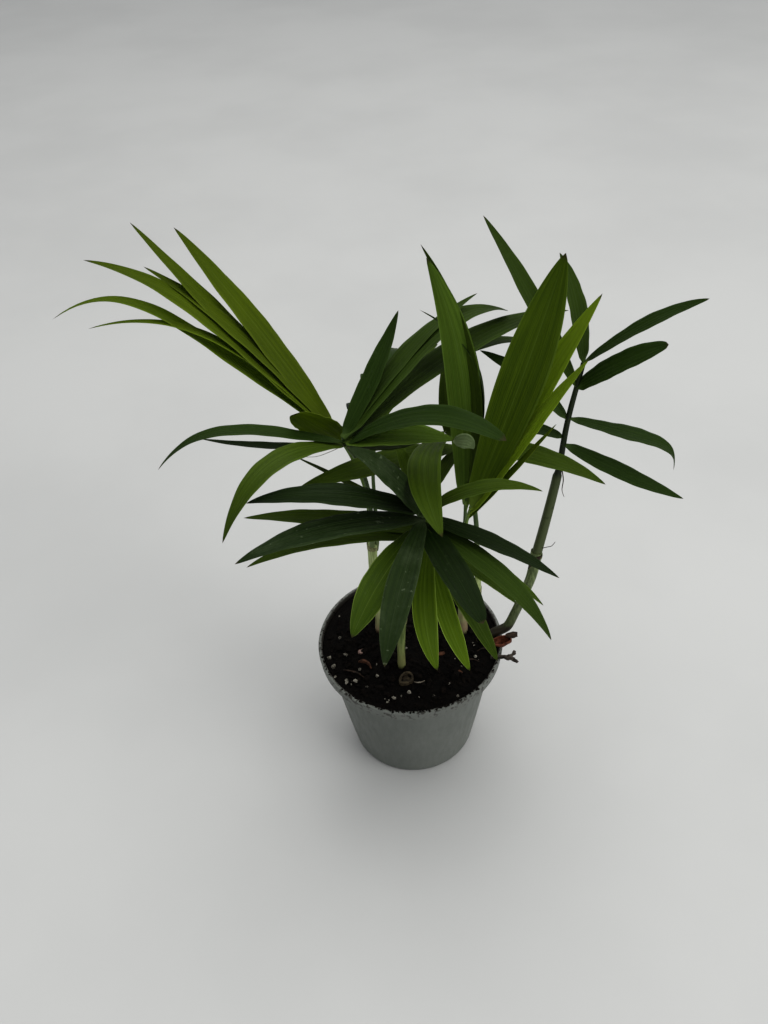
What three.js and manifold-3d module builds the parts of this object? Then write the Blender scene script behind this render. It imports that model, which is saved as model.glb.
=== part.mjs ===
import * as THREE from 'three';
import { mergeVertices } from 'three/addons/utils/BufferGeometryUtils.js';
import Module from 'manifold-3d';

// A parlour palm: a clump of five seedlings in one small round pot.
// Millimetres, +Z up, -Y is the front. The origin is the centre of the pot's flat underside.

const wasm = await Module();
wasm.setup();

// Pot
const potHeight = 43.8;
const baseRadius = 20.5;
const wallTopRadius = 27.2;
const rimRadius = 29.4;
const rimRounding = 0.5;
const collarHeight = 4.8;
const collarFlare = 1.5;
const collarTaper = 0.3;
const footRounding = 1.4;
const wallThickness = 1.2;
const floorThickness = 1.8;
const roundSteps = 48;
const drainCount = 5;
const drainRadius = 2.1;
const drainCircle = 13;
const drainSteps = 16;
const collarFoot = potHeight - collarHeight;
const collarRadius = rimRadius - collarTaper;

// Soil and what lies on it
const clearance = 0.35;
const soilTop = 42.6;
const soilEdgeDrop = 0.6;
const soilEdgeWidth = 1.8;
const stubPlace = [-2.2, -15.6];
const stubRadius = 2.3;
const stubTopRadius = 2.15;
const stubBore = 1.4;
const stubBoreFoot = 1.1;
const stubHeight = 2.2;
const stubBoreDepth = 1.3;
const stubSteps = 16;
const huskPlace = [28.3, -5.8, 46.5];
const huskRadii = [3.6, 1.8, 2.1];
const huskTilt = -14;

// Leaflets
const leafletRings = 8;
const thicknessShare = 0.012;
const endThickness = 0.4;
const foldShare = 0.16;
const lance = { root: 0.1, widest: 0.5, power: 0.8 };
const paddle = { root: 0.2, widest: 0.64, power: 0.75 };
const blunt = { root: 0.12, widest: 0.54, power: 0.45 };
const plainLeaflet = { arch: 0, bow: 0, late: 1.6, roll: 0, ...lance };

// Stems and petioles
const stemSides = 8;
const petioleSides = 6;
const curveSteps = 10;
const sheathWaist = 0.82;
const petioleFootShare = 1.1;
const petioleTipShare = 0.65;
const wrapThickness = 0.4;

// Each stem runs up through these points [x, y, z], from the soil to the mouth of its sheath.
const footHeight = soilTop + clearance;
const stems = {
  left: {
    foot: 1.5, tip: 1.5,
    path: [[-9.5, 5.2, footHeight], [-9.3, 5.4, 52], [-10.2, 4.9, 68], [-9.9, 4.6, 81.6]],
  },
  front: {
    foot: 1.2, tip: 1.5,
    path: [[-3.2, -10.2, footHeight], [-3.1, -10.6, 52], [-2.2, -11.6, 66], [1, -12.4, 83.8]],
  },
  middle: {
    foot: 1.6, tip: 1.5,
    path: [[17.2, 2.8, footHeight], [17, 3, 52], [16.8, 3.6, 63], [17.3, 3.8, 74]],
  },
  back: {
    foot: 1.3, tip: 1.1,
    path: [[22.6, 7.6, footHeight], [22.6, 8.4, 52], [22.5, 10, 62], [22.2, 11, 71.4]],
  },
  // Leans out over the rim.
  right: {
    foot: 1.7, tip: 1.8,
    path: [[23.8, -1.6, footHeight], [26.7, -1.6, 45.9], [30.6, -1.2, 47.9], [33.2, -0.1, 53],
      [35.6, 1.2, 59.4], [38.1, 3.2, 65.2], [39.7, 5.4, 73.2]],
  },
};

// A frond starts on its stem, off its centre by `side`, and its petiole runs through `path` to the
// tip of its rachis. A sheath wraps the first `wrapped` share of it. Each leaflet leaves the rachis
// `back` mm short of that tip and ends at its own `tip`. In between it bends up by `arch` and to its
// left by `bow`, as shares of its reach. The bend comes nearer to the tip as `late` grows.
const fronds = {
  frond_left_young: {
    stem: 'left', side: [0, 1], radius: 0.7, colour: 'young',
    path: [[-10.6, 8, 99.8], [-13.7, 8.2, 111.6], [-16.3, 8.2, 118], [-18, 9, 120.8]],
    leaflets: [
      { back: 0, tip: [-53, 24, 174], arch: 0.015, width: 8.5 },
      { back: 0.5, tip: [-43.5, 29, 158.5], arch: -0.01, width: 6.5 },
      { back: 1, tip: [-62, 19, 178], arch: -0.005, width: 7.5 },
      { back: 1.5, tip: [-60.5, 16, 168], arch: 0.055, width: 7 },
      { back: 2, tip: [-73.5, 13, 172], arch: 0.085, late: 3.5, width: 8.5 },
      { back: 1.5, tip: [-84, 10, 158.5], arch: 0.175, late: 7, width: 6 },
      { back: 2.5, tip: [-75, 7, 157], arch: 0.17, late: 2.8, width: 4 },
      { back: 5, tip: [-26.5, -5, 136.5], width: 10, roll: 40, ...blunt },
    ],
  },
  frond_left: {
    stem: 'left', side: [0, -0.9], radius: 0.7, colour: 'mature',
    path: [[-9.8, 2.7, 104], [-11.9, 2.5, 114.4], [-14.6, -1.6, 123.4], [-15.1, -4, 127.5]],
    leaflets: [
      { back: 3, tip: [-61.5, -12, 127], arch: 0.185, late: 3.5, width: 5 },
      { back: 5, tip: [-55, 12, 118.5], arch: -0.03, width: 3 },
      { back: 5, tip: [-45.5, -29, 116.5], arch: 0.265, width: 7 },
      { back: 3, tip: [22.5, -30, 143], arch: 0.14, late: 2.5, width: 7, roll: 15, ...blunt },
      { back: 2, tip: [12, -20, 136.5], arch: 0.05, width: 8, roll: 15 },
      { back: 4, tip: [10.5, -16, 136.5], arch: -0.06, width: 7 },
      { back: 0, tip: [1, 14, 153], arch: -0.03, width: 5.8 },
      { back: 0, tip: [22.5, 26, 150], arch: 0.08, width: 5 },
      { back: 0, tip: [31.5, 30, 142], arch: 0.17, late: 2.6, width: 8.5, ...blunt },
      { back: 1, tip: [50, 37, 137], arch: 0.1, width: 9 },
      { back: 2, tip: [44.5, 38, 124.5], arch: 0.16, width: 7 },
    ],
  },
  frond_front: {
    stem: 'front', side: [-0.2, -0.9], radius: 0.75, colour: 'mature',
    path: [[3, -15.5, 100.9], [4.1, -17, 108.6], [4.4, -18, 112.9]],
    leaflets: [
      { back: 2, tip: [-13.5, -22, 138], arch: 0.06, width: 7.5, roll: -30 },
      { back: 0, tip: [-39, -24, 124.5], arch: 0.085, width: 9 },
      { back: 3, tip: [-42.5, -34, 114], arch: 0.08, width: 9 },
      { back: 6, tip: [-15.5, -46, 98.5], arch: 0.09, width: 9, ...paddle },
      { back: 3, tip: [-8, -54, 96.5], arch: 0.12, width: 7.5, ...paddle },
      { back: 5, tip: [16.5, -45, 99.5], arch: 0.03, width: 8, ...blunt },
      { back: 2, tip: [38.5, -28, 96], arch: 0.045, width: 6 },
      { back: 5, tip: [35.5, -38, 83.5], arch: 0.12, width: 6.5 },
      { back: 0, tip: [34, -20, 119], arch: 0.155, width: 5.5 },
    ],
  },
  frond_front_low: {
    stem: 'front', side: [0.3, 0.9], radius: 0.65, colour: 'bright',
    path: [[4.5, -11, 91.7], [6.3, -11, 97.2], [7.1, -11, 99.4]],
    leaflets: [
      { back: 0, tip: [-43.5, -8, 106], arch: 0.04, width: 7 },
      { back: 2, tip: [-42, -24, 103], arch: 0.1, width: 6 },
      { back: 0, tip: [-29, 4, 116.5], arch: 0.02, width: 3.5, roll: 15 },
      { back: 3, tip: [5.5, -42, 79], arch: 0.06, bow: -0.07, width: 6.5, ...paddle },
      { back: 4, tip: [14, -42, 78], bow: -0.04, width: 6, roll: -15, ...paddle },
      { back: 5, tip: [22.5, -34, 71.5], arch: 0.04, width: 5.5, ...paddle },
      { back: 2, tip: [37.5, -18, 75], arch: 0.06, width: 5 },
      { back: 3, tip: [28.5, -24, 83], arch: 0.06, width: 5.5 },
      { back: 0, tip: [-2, 2, 122.5], arch: 0.02, width: 5.5 },
    ],
  },
  frond_middle_young: {
    stem: 'middle', side: [-0.3, -0.9], radius: 0.7, colour: 'young',
    path: [[17.2, 1, 86.4], [17.5, -0.5, 93.5], [18.8, -0.8, 99.3]],
    leaflets: [
      { back: 0, tip: [39.5, 2, 171.5], arch: -0.01, width: 12, roll: 65, ...paddle },
      { back: 1.5, tip: [50, 5, 159], arch: 0.015, width: 7.5, roll: 35 },
      { back: 4, tip: [46.5, -3, 146], arch: 0.015, width: 6, roll: 20 },
      { back: 6, tip: [39, -7, 130], width: 2.2, roll: 30 },
    ],
  },
  frond_upper: {
    stem: 'middle', side: [0.2, 1.1], radius: 0.7, colour: 'mature',
    path: [[17.5, 5.3, 82.2], [17.8, 6.1, 89.2], [17.8, 6.3, 94.6]],
    leaflets: [
      { back: 1, tip: [7.5, 3, 172], arch: 0.06, width: 9.4, roll: 70 },
      { back: 3, tip: [6.5, 7, 173.5], arch: 0.08, width: 7, roll: 45 },
      { back: 0, tip: [6, 8, 156], arch: 0.18, late: 3, width: 4.5 },
    ],
  },
  frond_back: {
    stem: 'back', side: [0, 0], radius: 0.75, colour: 'mature',
    path: [[21.8, 12, 81.6], [19.8, 13.8, 97], [16, 14.8, 108.6], [14.2, 14.8, 111.8]],
    leaflets: [
      { back: 4, tip: [-27, -14, 120], arch: 0.02, width: 7.5, roll: -15 },
      { back: 0, tip: [7.5, -36, 120.5], arch: 0.1, bow: -0.11, late: 1.1, width: 8.5, ...paddle },
      { back: 4.5, tip: [7.5, 0, 103], arch: 0.06, width: 4.5, roll: 15 },
      { back: 3, tip: [56, 0, 103], arch: 0.08, width: 7, roll: 15 },
      { back: 0, tip: [13.5, 24, 132.5], arch: 0.14, width: 6 },
    ],
  },
  frond_rear: {
    stem: 'left', side: [1.5, 0.3], radius: 0.6, colour: 'mature',
    path: [[-8.3, 9.6, 91], [-8.2, 14.5, 102], [-6.6, 20, 111], [-4.8, 24.5, 115.6]],
    leaflets: [
      { back: 0, tip: [1, 57, 116], arch: 0.16, width: 6.5 },
      { back: 1, tip: [13, 53, 119], arch: 0.12, width: 6.5 },
      { back: 2, tip: [-9, 53, 109], arch: 0.16, width: 6 },
      { back: 4, tip: [13, 40, 127], arch: 0.1, width: 6 },
      { back: 4, tip: [-15, 41, 105], arch: 0.18, width: 5.5 },
    ],
  },
  frond_right: {
    stem: 'right', side: [0, 0], radius: 1.05, wrapped: 0.45, colour: 'mature',
    path: [[41.7, 7, 83.2], [44.7, 9.5, 100.8], [46.6, 12, 117.1], [50.2, 16, 132.7]],
    leaflets: [
      { back: 0, tip: [78.5, 10, 153], arch: 0.055, width: 4.5, roll: 15, ...paddle },
      { back: 7, tip: [68, 4, 144.2], arch: 0.035, width: 6.5, roll: 30, ...blunt },
      { back: 16, tip: [75, 2, 105], arch: 0.18, late: 9, width: 6.4, ...paddle },
      { back: 24, tip: [77, -4, 99.5], arch: -0.015, width: 5.5, roll: 15 },
      { back: 0, tip: [43, 24, 161], arch: 0.06, width: 7 },
      { back: 7, tip: [24, 30, 169.5], arch: 0.018, width: 6, roll: -15 },
      { back: 16.5, tip: [23.5, 26, 132.5], arch: 0.07, width: 6.5 },
      { back: 22, tip: [26, 20, 108.5], arch: 0.12, width: 5.5 },
    ],
  },
};

const plasticMaterial = new THREE.MeshStandardMaterial({ color: 0x59625d, roughness: 0.62, metalness: 0 });
const soilMaterial = new THREE.MeshStandardMaterial({ color: 0x17120e, roughness: 0.95, metalness: 0 });
const stemMaterial = new THREE.MeshStandardMaterial({ color: 0x7f8c55, roughness: 0.5, metalness: 0 });
const huskMaterial = new THREE.MeshStandardMaterial({ color: 0x5a2c1a, roughness: 0.8, metalness: 0 });
const leafMaterials = {
  young: new THREE.MeshStandardMaterial({ color: 0x5f8f22, roughness: 0.45, metalness: 0 }),
  bright: new THREE.MeshStandardMaterial({ color: 0x3f7a1a, roughness: 0.45, metalness: 0 }),
  mature: new THREE.MeshStandardMaterial({ color: 0x23491a, roughness: 0.45, metalness: 0 }),
};

const palm = new THREE.Group();
const { degToRad: radians, lerp } = THREE.MathUtils;

function addMesh(name, geometry, material) {
  const mesh = new THREE.Mesh(geometry, material);
  mesh.name = name;
  palm.add(mesh);
}

// A closed three.js geometry as a solid that can be joined and cut.
function toSolid(geometry) {
  const bare = geometry.clone();
  bare.deleteAttribute('normal');
  bare.deleteAttribute('uv');
  const merged = mergeVertices(bare, 1e-4);
  const corners = merged.index.array;
  const kept = [];
  for (let i = 0; i < corners.length; i += 3) {
    const [a, b, c] = corners.slice(i, i + 3);
    if (a !== b && b !== c && c !== a) kept.push(a, b, c);
  }
  return new wasm.Manifold(new wasm.Mesh({
    numProp: 3,
    vertProperties: new Float32Array(merged.attributes.position.array),
    triVerts: new Uint32Array(kept),
  }));
}

function toGeometry(solid) {
  const mesh = solid.getMesh();
  const geometry = new THREE.BufferGeometry();
  geometry.setAttribute('position', new THREE.BufferAttribute(new Float32Array(mesh.vertProperties), 3));
  geometry.setIndex(new THREE.BufferAttribute(new Uint32Array(mesh.triVerts), 1));
  geometry.computeVertexNormals();
  return geometry;
}

// Closed body through rings of points that all have the same count; a ring of one point is a tip.
function loft(rings) {
  const points = rings.flat();
  const starts = rings.map((ring, i) => rings.slice(0, i).flat().length);
  const index = [];
  for (let i = 0; i + 1 < rings.length; i++) {
    const sides = rings[i].length;
    const isTip = rings[i + 1].length === 1;
    for (let k = 0; k < sides; k++) {
      const next = (k + 1) % sides;
      const a = starts[i] + k;
      const b = starts[i] + next;
      if (isTip) {
        index.push(a, b, starts[i + 1]);
      } else {
        index.push(a, b, starts[i + 1] + next);
        index.push(a, starts[i + 1] + next, starts[i + 1] + k);
      }
    }
  }
  const capEnd = (start, sides, flip) => {
    for (let k = 1; k + 1 < sides; k++) {
      if (flip) index.push(start, start + k + 1, start + k);
      else index.push(start, start + k, start + k + 1);
    }
  };
  capEnd(starts[0], rings[0].length, true);
  capEnd(starts[rings.length - 1], rings[rings.length - 1].length, false);
  const geometry = new THREE.BufferGeometry().setFromPoints(points);
  geometry.setIndex(index);
  geometry.computeVertexNormals();
  return geometry;
}

// Tapered round limb along a curve, cut level at its start when `levelStart` is set.
function limb(curve, radiusAt, sides, levelStart) {
  const rings = [];
  for (let i = 0; i <= curveSteps; i++) {
    const along = i / curveSteps;
    const centre = curve.getPointAt(along);
    const tangent = i === 0 && levelStart ? new THREE.Vector3(0, 0, 1) : curve.getTangentAt(along);
    const across = new THREE.Vector3(0, 1, 0).cross(tangent).normalize();
    const other = tangent.clone().cross(across);
    const ring = [];
    for (let k = 0; k < sides; k++) {
      const angle = (2 * Math.PI * k) / sides;
      const radius = radiusAt(along);
      ring.push(centre.clone()
        .addScaledVector(across, radius * Math.cos(angle))
        .addScaledVector(other, radius * Math.sin(angle)));
    }
    rings.push(ring);
  }
  return loft(rings);
}

// Share of the full width at `along`, from the root (0) to the tip (1).
function leafletOutline(along, { root, widest, power }) {
  const stretched = root + (1 - root) * along;
  const skew = Math.log(0.5) / Math.log(widest);
  return Math.sin(Math.PI * stretched ** skew) ** power;
}

// Line of a leaflet's midrib, from the rachis to its tip.
function midrib(root, { tip, arch, bow, late }) {
  const span = new THREE.Vector3(...tip).sub(root);
  const left = new THREE.Vector3(-span.y, span.x, 0).normalize();
  const up = span.clone().normalize().cross(left);
  const bend = up.multiplyScalar(arch).addScaledVector(left, bow).multiplyScalar(span.length());
  const peak = late / (late + 1) ** (1 + 1 / late);
  const centreAt = (along) => root.clone()
    .addScaledVector(span, along)
    .addScaledVector(bend, (along - along ** (late + 1)) / peak);
  const tangentAt = (along) => span.clone()
    .addScaledVector(bend, (1 - (late + 1) * along ** late) / peak)
    .normalize();
  return { left, centreAt, tangentAt, reach: span.length() };
}

// Thin blade, four-sided in section, that follows its midrib from the rachis to its tip.
function leaflet(root, settings) {
  const leaf = { ...plainLeaflet, ...settings };
  const { left, centreAt, tangentAt, reach } = midrib(root, leaf);
  const rings = [];
  for (let i = 0; i < leafletRings; i++) {
    const along = i / leafletRings;
    const centre = centreAt(along);
    const tangent = tangentAt(along);
    const across = left.clone().projectOnPlane(tangent).normalize()
      .applyAxisAngle(tangent, radians(leaf.roll));
    const normal = tangent.clone().cross(across);
    const share = leafletOutline(along, leaf);
    const half = (leaf.width / 2) * share;
    const deep = (reach * thicknessShare * lerp(endThickness, 1, share)) / 2;
    const lift = half * foldShare;
    rings.push([
      centre.clone().addScaledVector(across, half).addScaledVector(normal, lift),
      centre.clone().addScaledVector(normal, deep),
      centre.clone().addScaledVector(across, -half).addScaledVector(normal, lift),
      centre.clone().addScaledVector(normal, -deep),
    ]);
  }
  rings.push([centreAt(1)]);
  return loft(rings);
}

function stemCurve(stem) {
  return new THREE.CatmullRomCurve3(stem.path.map((point) => new THREE.Vector3(...point)));
}

// Stem of wrapped sheaths: a swollen foot, a waist, and a slight flare at the mouth.
function addStem(name, stem) {
  const radiusAt = (along) => {
    const straight = lerp(stem.foot, stem.tip, along);
    return straight * lerp(1, sheathWaist, Math.sin(Math.PI * along));
  };
  addMesh(`stem_${name}`, limb(stemCurve(stem), radiusAt, stemSides, true), stemMaterial);
}

// Petiole, rachis and leaflets of one frond, fused in one solid.
function addFrond(name, frond) {
  const stem = stemCurve(stems[frond.stem]);
  const start = stem.getPointAt(1)
    .addScaledVector(stem.getTangentAt(1), clearance)
    .add(new THREE.Vector3(...frond.side, 0));
  const bends = frond.path.map((point) => new THREE.Vector3(...point));
  const curve = new THREE.CatmullRomCurve3([start, ...bends]);
  const radiusAt = (along) => {
    const bare = frond.radius * lerp(petioleFootShare, petioleTipShare, along);
    return along < frond.wrapped ? bare + wrapThickness : bare;
  };
  let solid = toSolid(limb(curve, radiusAt, petioleSides, false));
  for (const leaf of frond.leaflets) {
    const root = curve.getPointAt(1 - leaf.back / curve.getLength());
    solid = solid.add(toSolid(leaflet(root, leaf)));
  }
  addMesh(name, toGeometry(solid), leafMaterials[frond.colour]);
}

function wallRadiusAt(height) {
  return lerp(baseRadius, wallTopRadius, height / potHeight);
}

// Body of revolution about Z from a profile of [radius, height] corners.
function turned(profile, steps = roundSteps) {
  const corners = profile.map(([radius, height]) => new THREE.Vector2(radius, height));
  return new THREE.LatheGeometry(corners, steps).rotateX(Math.PI / 2);
}

function addPot() {
  const cup = turned([
    [0, 0],
    [baseRadius - footRounding, 0],
    [baseRadius, footRounding],
    [wallRadiusAt(collarFoot), collarFoot],
    [collarRadius, collarFoot + collarFlare],
    [rimRadius, potHeight - rimRounding],
    [rimRadius - rimRounding, potHeight],
    [rimRadius - wallThickness, potHeight],
    [collarRadius - wallThickness, collarFoot + collarFlare],
    [wallRadiusAt(collarFoot) - wallThickness, collarFoot],
    [wallRadiusAt(floorThickness) - wallThickness, floorThickness],
    [0, floorThickness],
  ]);
  let solid = toSolid(cup);
  for (let i = 0; i < drainCount; i++) {
    const angle = (2 * Math.PI * (i + 0.5)) / drainCount;
    const drill = new THREE.CylinderGeometry(drainRadius, drainRadius, 3 * floorThickness, drainSteps);
    drill.rotateX(Math.PI / 2);
    drill.translate(drainCircle * Math.cos(angle), drainCircle * Math.sin(angle), 0);
    solid = solid.subtract(toSolid(drill));
  }
  addMesh('pot', toGeometry(solid), plasticMaterial);
}

function addSoil() {
  const bottom = floorThickness + clearance;
  const inset = wallThickness + clearance;
  const soil = turned([
    [0, bottom],
    [wallRadiusAt(bottom) - inset, bottom],
    [wallRadiusAt(collarFoot) - inset, collarFoot + clearance],
    [collarRadius - inset, collarFoot + collarFlare + clearance],
    [collarRadius - inset, soilTop - soilEdgeDrop],
    [collarRadius - inset - soilEdgeWidth, soilTop],
    [0, soilTop],
  ]);
  addMesh('soil', soil, soilMaterial);
}

// Hollow stub of an older stem, cut off just above the soil.
function addCutStub() {
  const top = footHeight + stubHeight;
  const stub = turned([
    [0, footHeight],
    [stubRadius, footHeight],
    [stubTopRadius, top],
    [stubBore, top],
    [stubBoreFoot, top - stubBoreDepth],
    [0, top - stubBoreDepth],
  ], stubSteps);
  stub.translate(...stubPlace, 0);
  addMesh('cut_stub', stub, stemMaterial);
}

// Brown seed husk at the foot of the right-hand stem, lying on the pot's rim.
function addSeedHusk() {
  const husk = new THREE.SphereGeometry(1, 10, 8);
  husk.scale(...huskRadii);
  husk.rotateY(radians(huskTilt));
  husk.translate(...huskPlace);
  addMesh('seed_husk', husk, huskMaterial);
}

addPot();
addSoil();
addCutStub();
addSeedHusk();
Object.entries(stems).forEach(([name, stem]) => addStem(name, stem));
Object.entries(fronds).forEach(([name, frond]) => addFrond(name, frond));

export default palm;
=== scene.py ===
import math
import random

import bmesh
import bpy
from mathutils import Matrix, Vector, noise


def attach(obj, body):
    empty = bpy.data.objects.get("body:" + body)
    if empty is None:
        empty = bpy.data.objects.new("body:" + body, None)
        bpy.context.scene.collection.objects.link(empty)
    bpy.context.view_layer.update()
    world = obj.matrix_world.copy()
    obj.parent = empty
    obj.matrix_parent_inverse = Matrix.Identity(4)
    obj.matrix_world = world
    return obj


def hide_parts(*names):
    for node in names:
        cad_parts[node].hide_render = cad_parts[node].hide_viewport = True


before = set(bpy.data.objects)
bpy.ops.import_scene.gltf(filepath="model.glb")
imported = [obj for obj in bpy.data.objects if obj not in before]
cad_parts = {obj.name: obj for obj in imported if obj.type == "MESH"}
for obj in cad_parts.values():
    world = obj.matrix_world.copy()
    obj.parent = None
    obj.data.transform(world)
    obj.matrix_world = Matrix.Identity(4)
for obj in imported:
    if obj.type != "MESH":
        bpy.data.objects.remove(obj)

# Parlour palm in a small round pot. Sizes are in millimetres and become metres as each mesh is made.
# Only the floor and the lamps are given in metres.
mm = 0.001
up = Vector((0, 0, 1))
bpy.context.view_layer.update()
seed = 27
chance = random.Random(seed)
noise.seed_set(seed)


# Shared helpers

def lerp(first, second, share):
    return first + (second - first) * share


def smoothStep(low, high, value):
    share = min(max((value - low) / (high - low), 0), 1)
    return share * share * (3 - 2 * share)


def clearSelection():
    if bpy.context.object and bpy.context.object.mode != "OBJECT":
        bpy.ops.object.mode_set(mode="OBJECT")
    bpy.ops.object.select_all(action="DESELECT")


def startPiece(name):
    piece = bpy.context.object
    piece.name = name
    piece.data.name = name
    return piece


def pickOnly(piece):
    clearSelection()
    piece.select_set(True)
    bpy.context.view_layer.objects.active = piece


def editAll():
    bpy.ops.object.mode_set(mode="EDIT")
    bpy.ops.mesh.select_all(action="SELECT")


def endEdit():
    bpy.ops.object.mode_set(mode="OBJECT")


def selectWhere(piece, test):
    mesh = bmesh.from_edit_mesh(piece.data)
    for vert in mesh.verts:
        vert.select = test(vert.co)
    mesh.select_flush(True)
    bmesh.update_edit_mesh(piece.data)


def applyModifier(piece, kind, **settings):
    pickOnly(piece)
    modifier = piece.modifiers.new(kind.title(), kind)
    for key, value in settings.items():
        setattr(modifier, key, value)
    bpy.ops.object.modifier_apply(modifier=modifier.name)


def tidyNormals(piece, angle):
    pickOnly(piece)
    editAll()
    bpy.ops.mesh.normals_make_consistent(inside=False)
    endEdit()
    bpy.ops.object.shade_smooth_by_angle(angle=math.radians(angle))


def settle(piece):
    pickOnly(piece)
    bpy.ops.object.transform_apply(location=True, rotation=True, scale=True)


def joinInto(first, others):
    clearSelection()
    for piece in [first, *others]:
        piece.select_set(True)
    bpy.context.view_layer.objects.active = first
    bpy.ops.object.join()


def dress(piece, *finishes):
    piece.data.materials.clear()
    for finish in finishes:
        piece.data.materials.append(finish)


def hand(piece, slotName, *nodes):
    # one rigid body carries every piece; some pieces stand for nodes of the part
    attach(piece, "root")
    if nodes:
        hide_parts(*nodes)


def meshPiece(name, verts, faces, slots=None, uvs=None):
    mesh = bpy.data.meshes.new(name)
    mesh.from_pydata([tuple(v * mm) for v in verts], [], faces)
    if slots:
        mesh.polygons.foreach_set("material_index", slots)
    if uvs:
        layer = mesh.uv_layers.new(name="alongLeaf")
        for loop in mesh.loops:
            layer.data[loop.index].uv = uvs[loop.vertex_index]
    piece = bpy.data.objects.new(name, mesh)
    bpy.context.collection.objects.link(piece)
    return piece


# Node helpers

def newFinish(name):
    finish = bpy.data.materials.new(name)
    finish.use_nodes = True
    tree = finish.node_tree
    shader = tree.nodes["Principled BSDF"]
    return finish, tree, shader


def addNode(tree, kind, inputs=None, **settings):
    node = tree.nodes.new("ShaderNode" + kind)
    for key, value in settings.items():
        setattr(node, key, value)
    for key, value in (inputs or {}).items():
        if isinstance(value, bpy.types.NodeSocket):
            tree.links.new(value, node.inputs[key])
        else:
            node.inputs[key].default_value = value
    return node


def math2(tree, operation, first, second=0.5):
    return addNode(tree, "Math", {0: first, 1: second}, operation=operation).outputs[0]


def ramp(tree, value, low, high, toLow=0.0, toHigh=1.0):
    sockets = {"Value": value, "From Min": low, "From Max": high, "To Min": toLow, "To Max": toHigh}
    return addNode(tree, "MapRange", sockets, interpolation_type="SMOOTHSTEP").outputs[0]


def blendColour(tree, factor, first, second, blend="MIX"):
    # a colour mix has its factor in socket 0 and its two colours in 6 and 7
    node = addNode(tree, "Mix", data_type="RGBA", blend_type=blend)
    for index, value in ((0, factor), (6, first), (7, second)):
        if isinstance(value, bpy.types.NodeSocket):
            tree.links.new(value, node.inputs[index])
        else:
            node.inputs[index].default_value = value if index == 0 else (*value, 1)
    return node.outputs[2]


def layered(tree, colour, layers):
    for mask, paint in layers:
        colour = blendColour(tree, mask, colour, paint)
    return colour


def stretched(tree, place, scale):
    return addNode(tree, "Mapping", {"Vector": place, "Scale": scale}).outputs[0]


def objectPlace(tree, scale=(1, 1, 1)):
    return stretched(tree, addNode(tree, "TexCoord").outputs["Object"], scale)


def placeAndHeight(tree):
    place = addNode(tree, "TexCoord").outputs["Object"]
    return place, addNode(tree, "SeparateXYZ", {0: place}).outputs[2]


def cloudy(tree, place, scale, detail=3.0, rough=0.55):
    sockets = {"Vector": place, "Scale": scale, "Detail": detail, "Roughness": rough}
    return addNode(tree, "TexNoise", sockets).outputs["Fac"]


def setSurface(tree, shader, colour, rough, specular, height, bump):
    # bump is a strength and a depth in millimetres
    tree.links.new(colour, shader.inputs["Base Color"])
    tree.links.new(rough, shader.inputs["Roughness"])
    shader.inputs["Specular IOR Level"].default_value = specular
    relief = addNode(tree, "Bump", {"Height": height, "Strength": bump[0], "Distance": bump[1] * mm})
    tree.links.new(relief.outputs[0], shader.inputs["Normal"])


# Camera, floor and light

cameraView = dict(place=(-5.8, -191.7, 265.5), tilt=48.86, roll=-3.58, lens=31.89, nearest=10)
floorLook = dict(size=8, light=(0.475, 0.48, 0.474), dark=(0.443, 0.448, 0.443), rough=0.55)
lampAim = (0, 0, 0.08)
lamps = [
    dict(name="skyPanel", place=(0.1, 0.2, 1.2), size=1.2, power=9.5, colour=(1, 0.99, 0.97)),
    dict(name="sideFill", place=(0.95, -0.6, 0.8), size=0.8, power=6.0, colour=(1, 0.99, 0.97)),
]
worldLight = dict(colour=(0.98, 0.99, 1.0), strength=0.5)


def setCamera():
    data = bpy.data.cameras.new("camera")
    data.lens = cameraView["lens"]
    data.clip_start = cameraView["nearest"] * mm
    camera = bpy.data.objects.new("camera", data)
    tilt = Matrix.Rotation(math.radians(cameraView["tilt"]), 4, "X")
    roll = Matrix.Rotation(math.radians(cameraView["roll"]), 4, "Z")
    camera.matrix_world = Matrix.Translation(Vector(cameraView["place"]) * mm) @ tilt @ roll
    bpy.context.collection.objects.link(camera)
    bpy.context.scene.camera = camera


def setLights():
    for lamp in lamps:
        data = bpy.data.lights.new(lamp["name"], "AREA")
        data.size = lamp["size"]
        data.energy = lamp["power"]
        data.color = lamp["colour"]
        light = bpy.data.objects.new(lamp["name"], data)
        light.location = lamp["place"]
        aim = Vector(lampAim) - light.location
        light.rotation_euler = aim.to_track_quat("-Z", "Y").to_euler()
        bpy.context.collection.objects.link(light)
    world = bpy.data.worlds.new("paleRoom")
    world.use_nodes = True
    background = world.node_tree.nodes["Background"]
    background.inputs["Color"].default_value = (*worldLight["colour"], 1)
    background.inputs["Strength"].default_value = worldLight["strength"]
    bpy.context.scene.world = world


def layFloor():
    clearSelection()
    bpy.ops.mesh.primitive_plane_add(size=floorLook["size"], location=(0, 0, 0))
    floor = startPiece("floor")
    finish, tree, shader = newFinish("paleBench")
    mottled = cloudy(tree, objectPlace(tree), 6, 4)
    colour = blendColour(tree, ramp(tree, mottled, 0.35, 0.7), floorLook["light"], floorLook["dark"])
    tree.links.new(colour, shader.inputs["Base Color"])
    shader.inputs["Roughness"].default_value = floorLook["rough"]
    dress(floor, finish)


bpy.context.scene.view_settings.view_transform = "Standard"
bpy.context.scene.view_settings.look = "Medium High Contrast"
setCamera()
setLights()
layFloor()
print("camera, floor and lights are set")


# Leaf finishes: one for each tint, dealt out leaflet by leaflet. Light passes `through` a blade as `glow`.

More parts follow.
